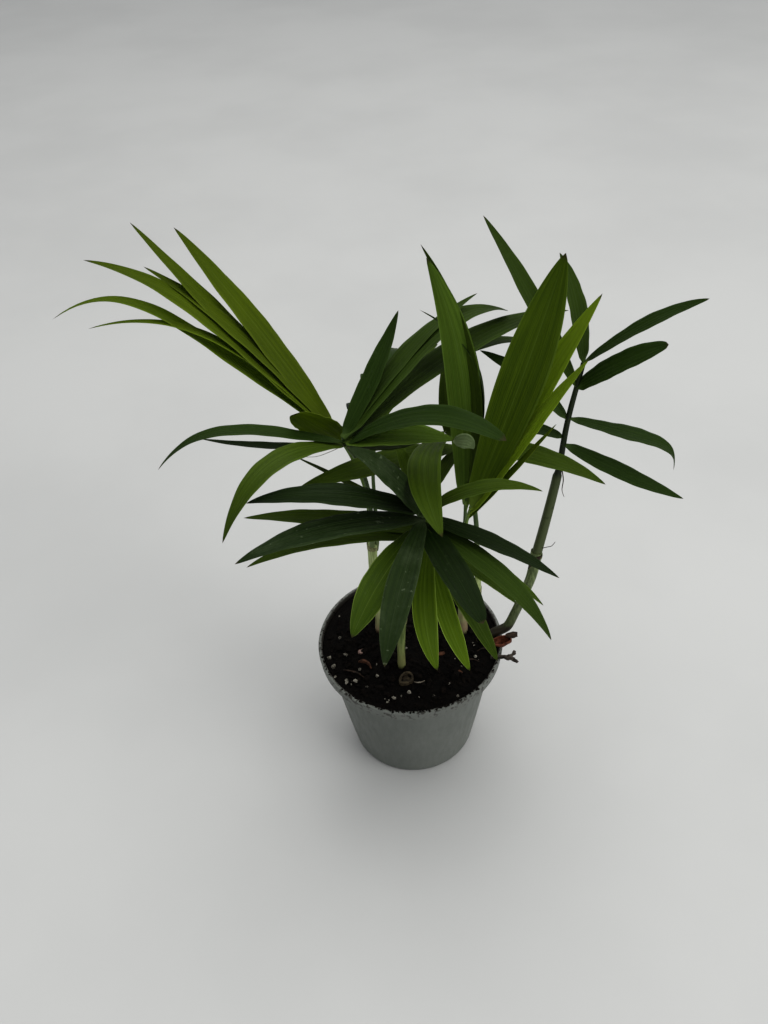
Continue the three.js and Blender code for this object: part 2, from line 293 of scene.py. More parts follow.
youngLeaf = dict(glow=(1.5, 1.4, 0.4), through=0.5, dust=0.0, margin=0.4, rough=0.50)
greenLeaf = dict(glow=(1.4, 1.4, 0.4), through=0.22, dust=0.05, margin=0.3, rough=0.46)
leafTints = {
    "youngPale": dict(youngLeaf, dark=(0.072, 0.114, 0.004), light=(0.143, 0.204, 0.007),
                      pale=(0.300, 0.390, 0.068)),
    # this tint is youngPale made lighter: painted light for the lowest leaflets of the young fan, which face
    # down, away from the lamps
    "youngClear": dict(youngLeaf, dark=(0.105, 0.165, 0.008), light=(0.200, 0.285, 0.014),
                       pale=(0.350, 0.460, 0.080), margin=0.3),
    # this tint is youngPale made lighter: painted light for young leaflets that lie in shade or turn away
    # from the lamps
    "youngLit": dict(youngLeaf, dark=(0.150, 0.228, 0.014), light=(0.290, 0.410, 0.026),
                     pale=(0.450, 0.590, 0.110), through=0.45),
    "youngDeep": dict(youngLeaf, dark=(0.046, 0.087, 0.002), light=(0.110, 0.173, 0.007),
                      pale=(0.242, 0.346, 0.061), through=0.34, dust=0.02, margin=0.35),
    "brightFresh": dict(greenLeaf, dark=(0.067, 0.128, 0.004), light=(0.156, 0.244, 0.009),
                        pale=(0.440, 0.599, 0.120), through=0.30, margin=0.85),
    "brightDeep": dict(greenLeaf, dark=(0.029, 0.062, 0.002), light=(0.068, 0.117, 0.004),
                       pale=(0.268, 0.372, 0.075), through=0.26, dust=0.1, margin=0.6),
    # this tint is matureLight made lighter: painted light for leaflets that lie in the shade of other fronds
    "matureFresh": dict(greenLeaf, dark=(0.075, 0.140, 0.012), light=(0.150, 0.240, 0.030),
                        pale=(0.250, 0.360, 0.100), through=0.26, dust=0.02, rough=0.48),
    "matureLight": dict(greenLeaf, dark=(0.036, 0.066, 0.003), light=(0.073, 0.117, 0.007),
                        pale=(0.165, 0.253, 0.054)),
    "matureSoft": dict(greenLeaf, dark=(0.022, 0.045, 0.003), light=(0.047, 0.083, 0.006),
                       pale=(0.100, 0.160, 0.040), through=0.20, dust=0.03, margin=0.25),
    "matureMid": dict(greenLeaf, dark=(0.013, 0.033, 0.002), light=(0.030, 0.060, 0.005),
                      pale=(0.081, 0.133, 0.034), through=0.18, margin=0.25, rough=0.44),
    "matureDeep": dict(greenLeaf, dark=(0.005, 0.014, 0.001), light=(0.012, 0.027, 0.002),
                       pale=(0.047, 0.078, 0.021), through=0.14, margin=0.2, rough=0.44),
    "matureFold": dict(greenLeaf, dark=(0.070, 0.105, 0.040), light=(0.170, 0.225, 0.105),
                       pale=(0.260, 0.320, 0.170), glow=(1.4, 1.4, 0.6), through=0.20, dust=0.1, rough=0.50),
    "matureDusty": dict(greenLeaf, dark=(0.010, 0.024, 0.004), light=(0.022, 0.042, 0.007),
                        pale=(0.075, 0.104, 0.046), glow=(1.4, 1.4, 0.5), through=0.12, dust=0.35,
                        rough=0.48),
}
tipBrown = (0.055, 0.045, 0.020)
dustColour = (0.22, 0.27, 0.17)
leafSkin = dict(veins=13, veinSharpness=6.0, streaks=(34, 1.3, 1), bands=(7, 0.5, 1), blotches=55, haze=120,
                specks=900, specular=0.14, bump=(0.55, 0.16))


def leafFinish(name, tint):
    finish, tree, shader = newFinish(name)
    uv = addNode(tree, "UVMap", uv_map="alongLeaf").outputs[0]
    parts = addNode(tree, "SeparateXYZ", {0: uv})
    across, along = parts.outputs[0], parts.outputs[1]
    offset = addNode(tree, "Math", {0: across, 1: 2.0, 2: -1.0}, operation="MULTIPLY_ADD").outputs[0]
    edge = math2(tree, "ABSOLUTE", offset)
    place = objectPlace(tree)
    blotch = cloudy(tree, place, leafSkin["blotches"], 3)
    streak = cloudy(tree, stretched(tree, uv, leafSkin["streaks"]), 1.0, 4, 0.6)
    bands = cloudy(tree, stretched(tree, uv, leafSkin["bands"]), 1.0, 2)
    wobble = math2(tree, "MULTIPLY_ADD", blotch, 1.5)
    turn = math2(tree, "ADD", math2(tree, "MULTIPLY", across, 2 * math.pi * leafSkin["veins"]), wobble)
    veins = math2(tree, "ABSOLUTE", math2(tree, "SINE", turn))
    veins = math2(tree, "POWER", veins, leafSkin["veinSharpness"])
    midrib = ramp(tree, edge, 0.005, 0.05, 0.2, 0)
    tip = math2(tree, "ADD", along, math2(tree, "MULTIPLY", streak, 0.03))
    haze = ramp(tree, cloudy(tree, place, leafSkin["haze"], 5, 0.7), 0.42, 0.75)
    haze = math2(tree, "MULTIPLY", haze, tint["dust"] * 0.32)
    specks = ramp(tree, cloudy(tree, place, leafSkin["specks"], 1, 0.4), 0.7, 0.76, 0, tint["dust"])
    colour = blendColour(tree, ramp(tree, streak, 0.28, 0.72), tint["dark"], tint["light"])
    colour = layered(tree, colour, [
        (ramp(tree, bands, 0.42, 0.6, 0, 0.5), tint["dark"]),
        (ramp(tree, blotch, 0.45, 0.8, 0, 0.4), tint["light"]),
        (math2(tree, "MULTIPLY", veins, 0.1), tint["pale"]),
        (midrib, tint["pale"]),
        (ramp(tree, edge, 0.9, 1.0, 0, tint["margin"]), tint["pale"]),
        (ramp(tree, along, 0.0, 0.1, 0.6, 0), tint["pale"]),
        (ramp(tree, tip, 0.985, 1.01, 0, 0.85), tipBrown),
        (math2(tree, "MAXIMUM", haze, specks), dustColour),
    ])
    rough = ramp(tree, blotch, 0.3, 0.7, tint["rough"] - 0.06, tint["rough"] + 0.1)
    height = math2(tree, "ADD", veins, math2(tree, "MULTIPLY", streak, 0.8))
    height = math2(tree, "SUBTRACT", height, math2(tree, "MULTIPLY", midrib, 2.2))
    setSurface(tree, shader, colour, rough, leafSkin["specular"], height, leafSkin["bump"])
    glow = addNode(tree, "BsdfTranslucent")
    tree.links.new(blendColour(tree, 1.0, colour, tint["glow"], "MULTIPLY"), glow.inputs["Color"])
    mix = addNode(tree, "MixShader", {0: tint["through"]})
    tree.links.new(shader.outputs[0], mix.inputs[1])
    tree.links.new(glow.outputs[0], mix.inputs[2])
    tree.links.new(mix.outputs[0], tree.nodes["Material Output"].inputs[0])
    return finish


# Finish of petioles and rachises: lengthwise fibres, darker flecks, and a foot colour that fades upwards

stalkTints = {
    "petioleYoung": dict(dark=(0.070, 0.120, 0.020), light=(0.150, 0.230, 0.050), foot=(0.21, 0.26, 0.09),
                         fade=(0.0, 0.25)),
    "petioleMature": dict(dark=(0.030, 0.060, 0.017), light=(0.085, 0.130, 0.045), foot=(0.17, 0.215, 0.095),
                          fade=(0.0, 0.25)),
    "rachisDark": dict(dark=(0.006, 0.011, 0.003), light=(0.018, 0.027, 0.009), foot=(0.082, 0.104, 0.040),
                       fade=(0.43, 0.47)),
}
stalkSkin = dict(fibres=(26, 5, 1), flecks=420, specular=0.25, bump=(0.5, 0.15))


def stalkFinish(name, tint):
    finish, tree, shader = newFinish(name)
    uv = addNode(tree, "UVMap", uv_map="alongLeaf").outputs[0]
    along = addNode(tree, "SeparateXYZ", {0: uv}).outputs[1]
    fibres = cloudy(tree, stretched(tree, uv, stalkSkin["fibres"]), 1.0, 4, 0.6)
    flecks = cloudy(tree, objectPlace(tree), stalkSkin["flecks"], 3)
    colour = blendColour(tree, ramp(tree, fibres, 0.35, 0.65), tint["dark"], tint["light"])
    colour = layered(tree, colour, [
        (ramp(tree, along, *tint["fade"], 0.72, 0), tint["foot"]),
        (ramp(tree, flecks, 0.62, 0.74, 0, 0.5), tint["dark"]),
    ])
    rough = ramp(tree, flecks, 0.3, 0.7, 0.38, 0.56)
    setSurface(tree, shader, colour, rough, stalkSkin["specular"], fibres, stalkSkin["bump"])
    return finish


foliageFinishes = {name: leafFinish(name, tint) for name, tint in leafTints.items()}
foliageFinishes.update({name: stalkFinish(name, tint) for name, tint in stalkTints.items()})
print("leaf finishes are mixed")


# Stems. Each runs up its path, from just above the soil to the mouth of its sheath. A share in `mouths`
# tells where an older sheath ends lower down.

clearance = 0.35
soilTop = 42.6
stemFoot = soilTop + clearance
stems = {
    "left": dict(foot=1.5, tip=1.5, mouths=(0.55,), look="paleSheath",
                 path=[(-9.5, 5.2, stemFoot), (-9.3, 5.4, 52), (-10.2, 4.9, 68), (-9.9, 4.6, 81.6)]),
    "front": dict(foot=1.2, tip=1.5, mouths=(0.6,), look="yellowSheath",
                  path=[(-3.2, -10.2, stemFoot), (-3.1, -10.6, 52), (-2.2, -11.6, 66), (1, -12.4, 83.8)]),
    "middle": dict(foot=1.6, tip=1.5, mouths=(0.5,), look="paleSheath",
                   path=[(17.2, 2.8, stemFoot), (17, 3, 52), (16.8, 3.6, 63), (17.3, 3.8, 74)]),
    "back": dict(foot=1.3, tip=1.1, mouths=(0.5,), look="paleSheath",
                 path=[(22.6, 7.6, stemFoot), (22.6, 8.4, 52), (22.5, 10, 62), (22.2, 11, 71.4)]),
    "right": dict(foot=1.7, tip=1.8, mouths=(), look="greySheath",
                  path=[(23.8, -1.6, stemFoot), (26.7, -1.6, 45.9), (30.6, -1.2, 47.9), (33.2, -0.1, 53),
                        (35.6, 1.2, 59.4), (38.1, 3.2, 65.2), (39.7, 5.4, 73.2)]),
}
sheathWaist = 0.82
curveSteps = 80


def evenPath(corners, count):
    # centripetal curve through the corners, read at even lengths
    knots = [Vector(corner) for corner in corners]
    knots = [knots[0] * 2 - knots[1], *knots, knots[-1] * 2 - knots[-2]]
    fine = []
    for i in range(1, len(knots) - 2):
        x0, x1, x2, x3 = knots[i - 1:i + 3]
        dt0, dt1, dt2 = (math.sqrt((b - a).length) for a, b in ((x0, x1), (x1, x2), (x2, x3)))
        t1 = ((x1 - x0) / dt0 - (x2 - x0) / (dt0 + dt1) + (x2 - x1) / dt1) * dt1
        t2 = ((x2 - x1) / dt1 - (x3 - x1) / (dt1 + dt2) + (x3 - x2) / dt2) * dt1
        square = x2 * 3 - x1 * 3 - t1 * 2 - t2
        cube = x1 * 2 - x2 * 2 + t1 + t2
        for step in range(curveSteps):
            w = step / curveSteps
            fine.append(x1 + t1 * w + square * w ** 2 + cube * w ** 3)
    fine.append(knots[-2])
    reach = [0.0]
    for a, b in zip(fine, fine[1:]):
        reach.append(reach[-1] + (b - a).length)
    points = []
    spot = 0
    for i in range(count + 1):
        target = reach[-1] * i / count
        while spot < len(fine) - 2 and reach[spot + 1] < target:
            spot += 1
        share = (target - reach[spot]) / max(reach[spot + 1] - reach[spot], 1e-9)
        points.append(fine[spot].lerp(fine[spot + 1], min(share, 1)))
    return points, reach[-1]


def directions(points):
    ends = [points[0]] + points + [points[-1]]
    return [(ends[i + 2] - ends[i]).normalized() for i in range(len(points))]


# Leaflets. The midrib and the outline are the same rule as the solid part's, with finer sections.

outlines = {
    "lance": dict(root=0.1, widest=0.5, power=0.8),
    "paddle": dict(root=0.2, widest=0.64, power=0.75),
    "blunt": dict(root=0.12, widest=0.54, power=0.45),
}
blade = dict(rings=52, half=8, fold=0.16, foldRound=0.02, foldLift=0.1414, pleat=0.030, pleats=2.5,
             midThick=0.26, edgeThick=0.11, endThick=0.6, keel=0.16, keelNarrow=5, swell=0.9, swellShare=0.02,
             neckWidth=0.42, neckEnd=0.09, ripple=0.035, slowWave=17, fastWave=41, fastShare=0.6)
plainLeaf = dict(arch=0, bow=0, late=1.6, roll=0, shape="lance")
anyTurn = (0, 6.3)
anyTwist = (-4, 4)


def midrib(root, leaf):
    span = Vector(leaf["tip"]) - root
    left = Vector((-span.y, span.x, 0)).normalized()
    above = span.normalized().cross(left)
    bend = (above * leaf["arch"] + left * leaf["bow"]) * span.length
    late = leaf["late"]
    peak = late / (late + 1) ** (1 + 1 / late)

    def centreAt(along):
        return root + span * along + bend * ((along - along ** (late + 1)) / peak)

    def tangentAt(along):
        return (span + bend * ((1 - (late + 1) * along ** late) / peak)).normalized()

    return left, centreAt, tangentAt


def leafWidthShare(outline, along):
    stretched = outline["root"] + (1 - outline["root"]) * along
    skew = math.log(0.5) / math.log(outline["widest"])
    return max(math.sin(math.pi * min(stretched, 1) ** skew), 0) ** outline["power"]


def bladeShift(u, wide, neck, along, phases):
    # how far a point lies above the flat blade: the fold along the midrib, the pleats and a wavy margin
    reach = abs(u)
    shift = blade["fold"] * wide * (math.sqrt(reach ** 2 + blade["foldRound"]) - blade["foldLift"])
    shift += wide * blade["pleat"] * neck * math.cos(2 * math.pi * blade["pleats"] * reach)
    wave = math.sin(along * blade["slowWave"] + phases[0 if u > 0 else 1])
    wave += blade["fastShare"] * math.sin(along * blade["fastWave"] + phases[2])
    return shift + wide * blade["ripple"] * reach ** 3 * wave


def joinRings(faces, start, tip):
    # both sides and both margins from ring to ring, then the tip, then the closed root
    columns = 2 * blade["half"] + 1
    ringSize = 2 * columns
    for ring in range(blade["rings"] - 1):
        a = start + ring * ringSize
        b = a + ringSize
        for k in range(columns - 1):
            faces.append((a + k, a + k + 1, b + k + 1, b + k))
            faces.append((a + columns + k + 1, a + columns + k, b + columns + k, b + columns + k + 1))
        faces.append((a, b, b + columns, a + columns))
        faces.append((a + columns - 1, a + ringSize - 1, b + ringSize - 1, b + columns - 1))
    last = start + (blade["rings"] - 1) * ringSize
    for k in range(columns - 1):
        faces.append((last + k, last + k + 1, tip))
        faces.append((last + columns + k + 1, last + columns + k, tip))
    faces.append((last, tip, last + columns))
    faces.append((last + columns - 1, last + ringSize - 1, tip))
    for k in range(columns - 1):
        faces.append((start + k + 1, start + k, start + columns + k, start + columns + k + 1))


def growLeaflet(grown, root, leaf, mark):
    left, centreAt, tangentAt = midrib(root, leaf)
    verts, faces, uvs = grown["verts"], grown["faces"], grown["uvs"]
    phases = [chance.uniform(*anyTurn) for _ in range(4)]
    twist = chance.uniform(*anyTwist)
    start = len(verts)
    half = blade["half"]
    for ring in range(blade["rings"]):
        along = ring / blade["rings"]
        centre = centreAt(along)
        tangent = tangentAt(along)
        level = (left - tangent * left.dot(tangent)).normalized()
        acrossWay = Matrix.Rotation(math.radians(leaf["roll"] + twist * along), 3, tangent) @ level
        normal = tangent.cross(acrossWay)
        share = leafWidthShare(outlines[leaf["shape"]], along)
        neck = smoothStep(0, blade["neckEnd"], along)
        wide = leaf["width"] / 2 * share * lerp(blade["neckWidth"], 1, neck)
        swell = blade["swell"] * math.exp(-along / blade["swellShare"])
        for side in (1, -1):
            for k in range(-half, half + 1):
                u = k / half
                rib = 1 - abs(u) ** 2
                thick = lerp(blade["edgeThick"], blade["midThick"], rib) * lerp(blade["endThick"], 1, share)
                thick += swell * rib
                if side < 0:
                    thick += blade["keel"] * max(1 - abs(u) * blade["keelNarrow"], 0) * (1 - along)
                rise = bladeShift(u, wide, neck, along, phases) + side * thick / 2
                verts.append(centre + acrossWay * (wide * u) + normal * rise)
                uvs.append(((u + 1) / 2, along))
    tip = len(verts)
    verts.append(centreAt(1))
    uvs.append((0.5, 1.0))
    joinRings(faces, start, tip)
    grown["slots"] += [mark] * (len(faces) - len(grown["slots"]))


# Stalks: petiole and rachis in one, with a groove along one side

stalk = dict(sides=14, steps=64, stemSteps=60, groove=0.22, grooveTurn=1.2, footShare=1.1, tipShare=0.65,
             buried=3, footAside=0.25, wrap=0.4, wrapEdge=(0.02, -0.005))


def growStalk(grown, points, radiusAt, mark):
    verts, faces, uvs = grown["verts"], grown["faces"], grown["uvs"]
    start = len(verts)
    sides = stalk["sides"]
    for i, (point, way) in enumerate(zip(points, directions(points))):
        along = i / (len(points) - 1)
        acrossWay = Vector((0, 1, 0)).cross(way).normalized()
        otherWay = way.cross(acrossWay)
        for k in range(sides):
            angle = 2 * math.pi * k / sides
            dent = 1 - stalk["groove"] * max(math.cos(angle + stalk["grooveTurn"]), 0) ** 6
            radius = radiusAt(along) * dent
            aside = acrossWay * (radius * math.cos(angle))
            verts.append(point + aside + otherWay * (radius * math.sin(angle)))
            uvs.append((k / sides, along))
    for i in range(len(points) - 1):
        for k in range(sides):
            a = start + i * sides + k
            b = start + i * sides + (k + 1) % sides
            faces.append((a, b, b + sides, a + sides))
    faces.append(tuple(start + k for k in reversed(range(sides))))
    faces.append(tuple(start + (len(points) - 1) * sides + k for k in range(sides)))
    grown["slots"] += [mark] * (len(faces) - len(grown["slots"]))


# Fronds. Each leaves its stem, and each leaflet leaves the rachis `back` short of its tip and ends at
# its own `tip`. It bends up by `arch` and left by `bow`, nearer to the tip as `late` grows. A leaflet
# has the frond's tint unless it names its own.

fronds = {
    "frond_left_young": dict(
        stem="left", side=(0, 1), radius=0.7, slot="leaf_young", stalk="petioleYoung",
        tint="youngPale", path=[(-10.6, 8, 99.8), (-13.7, 8.2, 111.6), (-16.3, 8.2, 118), (-18, 9, 120.8)],
        leaflets=[
            dict(back=0, tip=(-53, 24, 174), arch=0.015, width=8.5),
            dict(back=0.5, tip=(-43.5, 29, 158.5), arch=-0.01, width=6.5),
            dict(back=1, tip=(-62, 19, 178), arch=-0.005, width=7.5),
            dict(back=1.5, tip=(-60.5, 16, 168), arch=0.055, width=7),
            dict(back=2, tip=(-73.5, 13, 172), arch=0.085, late=3.5, width=8.5),
            # the next two leaflets take a lighter copy of youngPale: painted light, since they face away from
            # the lamps
            dict(back=1.5, tip=(-84, 10, 158.5), arch=0.175, late=7, width=6, tint="youngClear"),
            dict(back=2.5, tip=(-75, 7, 157), arch=0.17, late=2.8, width=4, tint="youngClear"),
            dict(back=5, tip=(-26.5, -5, 136.5), width=10, roll=40, shape="blunt"),
        ]),
    "frond_left": dict(
        stem="left", side=(0, -0.9), radius=0.7, slot="leaf_mature", stalk="petioleMature",
        tint="matureSoft",
        path=[(-9.8, 2.7, 104), (-11.9, 2.5, 114.4), (-14.6, -1.6, 123.4), (-15.1, -4, 127.5)],
        leaflets=[
            dict(back=3, tip=(-61.5, -12, 127), arch=0.185, late=3.5, width=5, tint="matureMid"),
            dict(back=5, tip=(-55, 12, 118.5), arch=-0.03, width=3, tint="matureDeep"),
            dict(back=5, tip=(-45.5, -29, 116.5), arch=0.265, width=7, tint="matureLight"),
            dict(back=3, tip=(22.5, -30, 143), arch=0.14, late=2.5, width=7, roll=15, shape="blunt",
                 tint="matureMid"),
            # a lighter copy of matureLight: painted light for a leaflet in the shade of other fronds
            dict(back=2, tip=(12, -20, 136.5), arch=0.05, width=8, roll=15, tint="matureFresh"),
            dict(back=4, tip=(10.5, -16, 136.5), arch=-0.06, width=7, tint="matureLight"),
            dict(back=0, tip=(1, 14, 153), arch=-0.03, width=5.8, tint="matureMid"),
            dict(back=0, tip=(22.5, 26, 150), arch=0.08, width=5),
            dict(back=0, tip=(31.5, 30, 142), arch=0.17, late=2.6, width=8.5, shape="blunt"),
            dict(back=1, tip=(50, 37, 137), arch=0.1, width=9),
            dict(back=2, tip=(44.5, 38, 124.5), arch=0.16, width=7),
        ],
        folds=[
            dict(root=(11.6, -20.1, 136.2), tip=(16.4, -20.6, 134.0), arch=0.26, width=3.6, roll=50,
                 tint="matureFold"),
        ]),
    "frond_front": dict(
        stem="front", side=(-0.2, -0.9), radius=0.75, slot="leaf_mature", stalk="petioleMature",
        tint="matureDeep", path=[(3, -15.5, 100.9), (4.1, -17, 108.6), (4.4, -18, 112.9)],
        leaflets=[
            dict(back=2, tip=(-13.5, -22, 138), arch=0.06, width=7.5, roll=-30, tint="matureDusty"),
            dict(back=0, tip=(-39, -24, 124.5), arch=0.085, width=9),
            dict(back=3, tip=(-42.5, -34, 114), arch=0.08, width=9, tint="matureDusty"),
            dict(back=6, tip=(-15.5, -46, 98.5), arch=0.09, width=9, shape="paddle", tint="brightDeep"),
            dict(back=3, tip=(-8, -54, 96.5), arch=0.12, width=7.5, shape="paddle", tint="matureDusty"),
            dict(back=5, tip=(16.5, -45, 99.5), arch=0.03, width=8, shape="blunt"),
            dict(back=2, tip=(38.5, -28, 96), arch=0.045, width=6),
            dict(back=5, tip=(35.5, -38, 83.5), arch=0.12, width=6.5, tint="matureSoft"),
            dict(back=0, tip=(34, -20, 119), arch=0.155, width=5.5, tint="matureLight"),
        ]),
    "frond_front_low": dict(
        stem="front", side=(0.3, 0.9), radius=0.65, slot="leaf_bright", stalk="petioleMature",
        tint="matureLight", path=[(4.5, -11, 91.7), (6.3, -11, 97.2), (7.1, -11, 99.4)],
        leaflets=[
            dict(back=0, tip=(-43.5, -8, 106), arch=0.04, width=7),
            dict(back=2, tip=(-42, -24, 103), arch=0.1, width=6),
            dict(back=0, tip=(-29, 4, 116.5), arch=0.02, width=3.5, roll=15),
            dict(back=3, tip=(5.5, -42, 79), arch=0.06, bow=-0.07, width=6.5, shape="paddle",
                 tint="brightFresh"),
            dict(back=4, tip=(14, -42, 78), bow=-0.04, width=6, roll=-15, shape="paddle",
                 tint="brightFresh"),
            dict(back=5, tip=(22.5, -34, 71.5), arch=0.04, width=5.5, shape="paddle", tint="brightDeep"),
            dict(back=2, tip=(37.5, -18, 75), arch=0.06, width=5, tint="brightDeep"),
            dict(back=3, tip=(28.5, -24, 83), arch=0.06, width=5.5, tint="brightDeep"),
            dict(back=0, tip=(-2, 2, 122.5), arch=0.02, width=5.5),
        ]),
    "frond_middle_young": dict(
        stem="middle", side=(-0.3, -0.9), radius=0.7, slot="leaf_young", stalk="petioleYoung",
        # the frond's own tint is a lighter copy of youngPale: painted light for leaflets that lie in shade
        tint="youngLit", path=[(17.2, 1, 86.4), (17.5, -0.5, 93.5), (18.8, -0.8, 99.3)],
        leaflets=[
            dict(back=0, tip=(39.5, 2, 171.5), arch=-0.01, width=12, roll=65, shape="paddle",
                 tint="youngDeep"),
            dict(back=1.5, tip=(50, 5, 159), arch=0.015, width=7.5, roll=35),
            dict(back=4, tip=(46.5, -3, 146), arch=0.015, width=6, roll=20),
            dict(back=6, tip=(39, -7, 130), width=2.2, roll=30, tint="youngPale"),
        ]),
    "frond_upper": dict(
        stem="middle", side=(0.2, 1.1), radius=0.7, slot="leaf_mature", stalk="petioleMature",
        tint="matureLight", path=[(17.5, 5.3, 82.2), (17.8, 6.1, 89.2), (17.8, 6.3, 94.6)],
        leaflets=[
            # a lighter copy of matureLight: painted light for a leaflet in the shade of other fronds
            dict(back=1, tip=(7.5, 3, 172), arch=0.06, width=9.4, roll=70, tint="matureFresh"),
            dict(back=3, tip=(6.5, 7, 173.5), arch=0.08, width=7, roll=45),
            dict(back=0, tip=(6, 8, 156), arch=0.18, late=3, width=4.5, tint="matureMid"),
        ]),
    "frond_back": dict(
        stem="back", side=(0, 0), radius=0.75, slot="leaf_mature", stalk="petioleMature",
        tint="matureLight", path=[(21.8, 12, 81.6), (19.8, 13.8, 97), (16, 14.8, 108.6), (14.2, 14.8, 111.8)],
        leaflets=[
            dict(back=4, tip=(-27, -14, 120), arch=0.02, width=7.5, roll=-15),
            dict(back=0, tip=(7.5, -36, 120.5), arch=0.1, bow=-0.11, late=1.1, width=8.5, shape="paddle"),
            dict(back=4.5, tip=(7.5, 0, 103), arch=0.06, width=4.5, roll=15),
            dict(back=3, tip=(56, 0, 103), arch=0.08, width=7, roll=15),
            dict(back=0, tip=(13.5, 24, 132.5), arch=0.14, width=6),
        ]),
    "frond_rear": dict(
        stem="left", side=(1.5, 0.3), radius=0.6, slot="leaf_mature", stalk="petioleMature",
        tint="matureMid", path=[(-8.3, 9.6, 91), (-8.2, 14.5, 102), (-6.6, 20, 111), (-4.8, 24.5, 115.6)],
        leaflets=[
            dict(back=0, tip=(1, 57, 116), arch=0.16, width=6.5),
            dict(back=1, tip=(13, 53, 119), arch=0.12, width=6.5, tint="matureDeep"),
            dict(back=2, tip=(-9, 53, 109), arch=0.16, width=6),
            dict(back=4, tip=(13, 40, 127), arch=0.1, width=6, tint="matureLight"),
            dict(back=4, tip=(-15, 41, 105), arch=0.18, width=5.5, tint="matureDeep"),
        ]),
    "frond_right": dict(
        stem="right", side=(0, 0), radius=1.05, wrapped=0.45, slot="leaf_mature", stalk="rachisDark",
        tint="matureMid", path=[(41.7, 7, 83.2), (44.7, 9.5, 100.8), (46.6, 12, 117.1), (50.2, 16, 132.7)],
        leaflets=[
            dict(back=0, tip=(78.5, 10, 153), arch=0.055, width=4.5, roll=15, shape="paddle"),
            dict(back=7, tip=(68, 4, 144.2), arch=0.035, width=6.5, roll=30, shape="blunt"),
            dict(back=16, tip=(75, 2, 105), arch=0.18, late=9, width=6.4, shape="paddle"),
            dict(back=24, tip=(77, -4, 99.5), arch=-0.015, width=5.5, roll=15),
            dict(back=0, tip=(43, 24, 161), arch=0.06, width=7, tint="matureSoft"),
            dict(back=7, tip=(24, 30, 169.5), arch=0.018, width=6, roll=-15, tint="matureSoft"),
            dict(back=16.5, tip=(23.5, 26, 132.5), arch=0.07, width=6.5),
            dict(back=22, tip=(26, 20, 108.5), arch=0.12, width=5.5),
        ]),
}


def growFrond(name, frond):
    grown = dict(verts=[], faces=[], uvs=[], slots=[])
    wrapped = frond.get("wrapped", -1)
    stemPoints, _ = evenPath(stems[frond["stem"]]["path"], stalk["stemSteps"])
    mouthWay = (stemPoints[-1] - stemPoints[-2]).normalized()
    aside = Vector((*frond["side"], 0))
    start = stemPoints[-1] + mouthWay * clearance + aside
    points, length = evenPath([start, *frond["path"]], stalk["steps"])
    foot = start - mouthWay * stalk["buried"] - aside * stalk["footAside"]
    leaflets = [{**plainLeaf, "tint": frond["tint"], **leaf} for leaf in frond["leaflets"]]
    folds = [{**plainLeaf, **fold} for fold in frond.get("folds", [])]

    def radiusAt(along):
        above, below = stalk["wrapEdge"]
        wrap = stalk["wrap"] * smoothStep(wrapped + above, wrapped + below, along)
        return frond["radius"] * lerp(stalk["footShare"], stalk["tipShare"], along) + wrap

    tints = [frond["stalk"]] + sorted({leaf["tint"] for leaf in leaflets + folds})
    growStalk(grown, [foot, *points], radiusAt, 0)
    for leaf in leaflets:
        spot = (1 - leaf["back"] / length) * stalk["steps"]
        low = min(int(spot), stalk["steps"] - 1)
        root = points[low].lerp(points[low + 1], spot - low)
        growLeaflet(grown, root, leaf, tints.index(leaf["tint"]))
    for fold in folds:
        growLeaflet(grown, Vector(fold["root"]), fold, tints.index(fold["tint"]))
    piece = meshPiece(name + "_foliage", grown["verts"], grown["faces"], grown["slots"], grown["uvs"])
    for tint in tints:
        piece.data.materials.append(foliageFinishes[tint])
    tidyNormals(piece, 40)
    hand(piece, frond["slot"], name)


for frondName, frondSettings in fronds.items():
    growFrond(frondName, frondSettings)
print("fronds are grown")


# Pot: a thin tapered cup with a flared collar, a rounded lip and foot, and drain holes

pot = dict(height=43.8, baseRadius=20.5, wallTop=27.2, rimRadius=29.4, collarHeight=4.8, collarFlare=1.5,
           collarTaper=0.3, flareEase=0.3, flareBend=0.12, lipFoot=0.75, lipRound=0.42, lipSoft=0.12,
           innerRound=0.2, floorRound=0.4, footRounding=1.4, footSteps=6, wall=1.2, floor=1.8, sides=144,
           holes=5, holeRadius=2.1, holeCircle=13, footBand=2.6, footSlope=0.5, footRing=0.5)
collarFoot = pot["height"] - pot["collarHeight"]
collarRadius = pot["rimRadius"] - pot["collarTaper"]
potLook = dict(dark=(0.130, 0.141, 0.128), light=(0.152, 0.163, 0.148), dust=(0.21, 0.21, 0.19),
               dirtAndShade=(0.020, 0.016, 0.012), rough=0.55, specular=0.3, bump=(0.15, 0.03))
potDirtAndShade = dict(band=(34.5, 40.5), rim=(38.5, 43.5), inside=(29.1, 29.5), above=(40.6, 40.9))
potRagged = 1.6


def wallRadius(height):
    return lerp(pot["baseRadius"], pot["wallTop"], height / pot["height"])


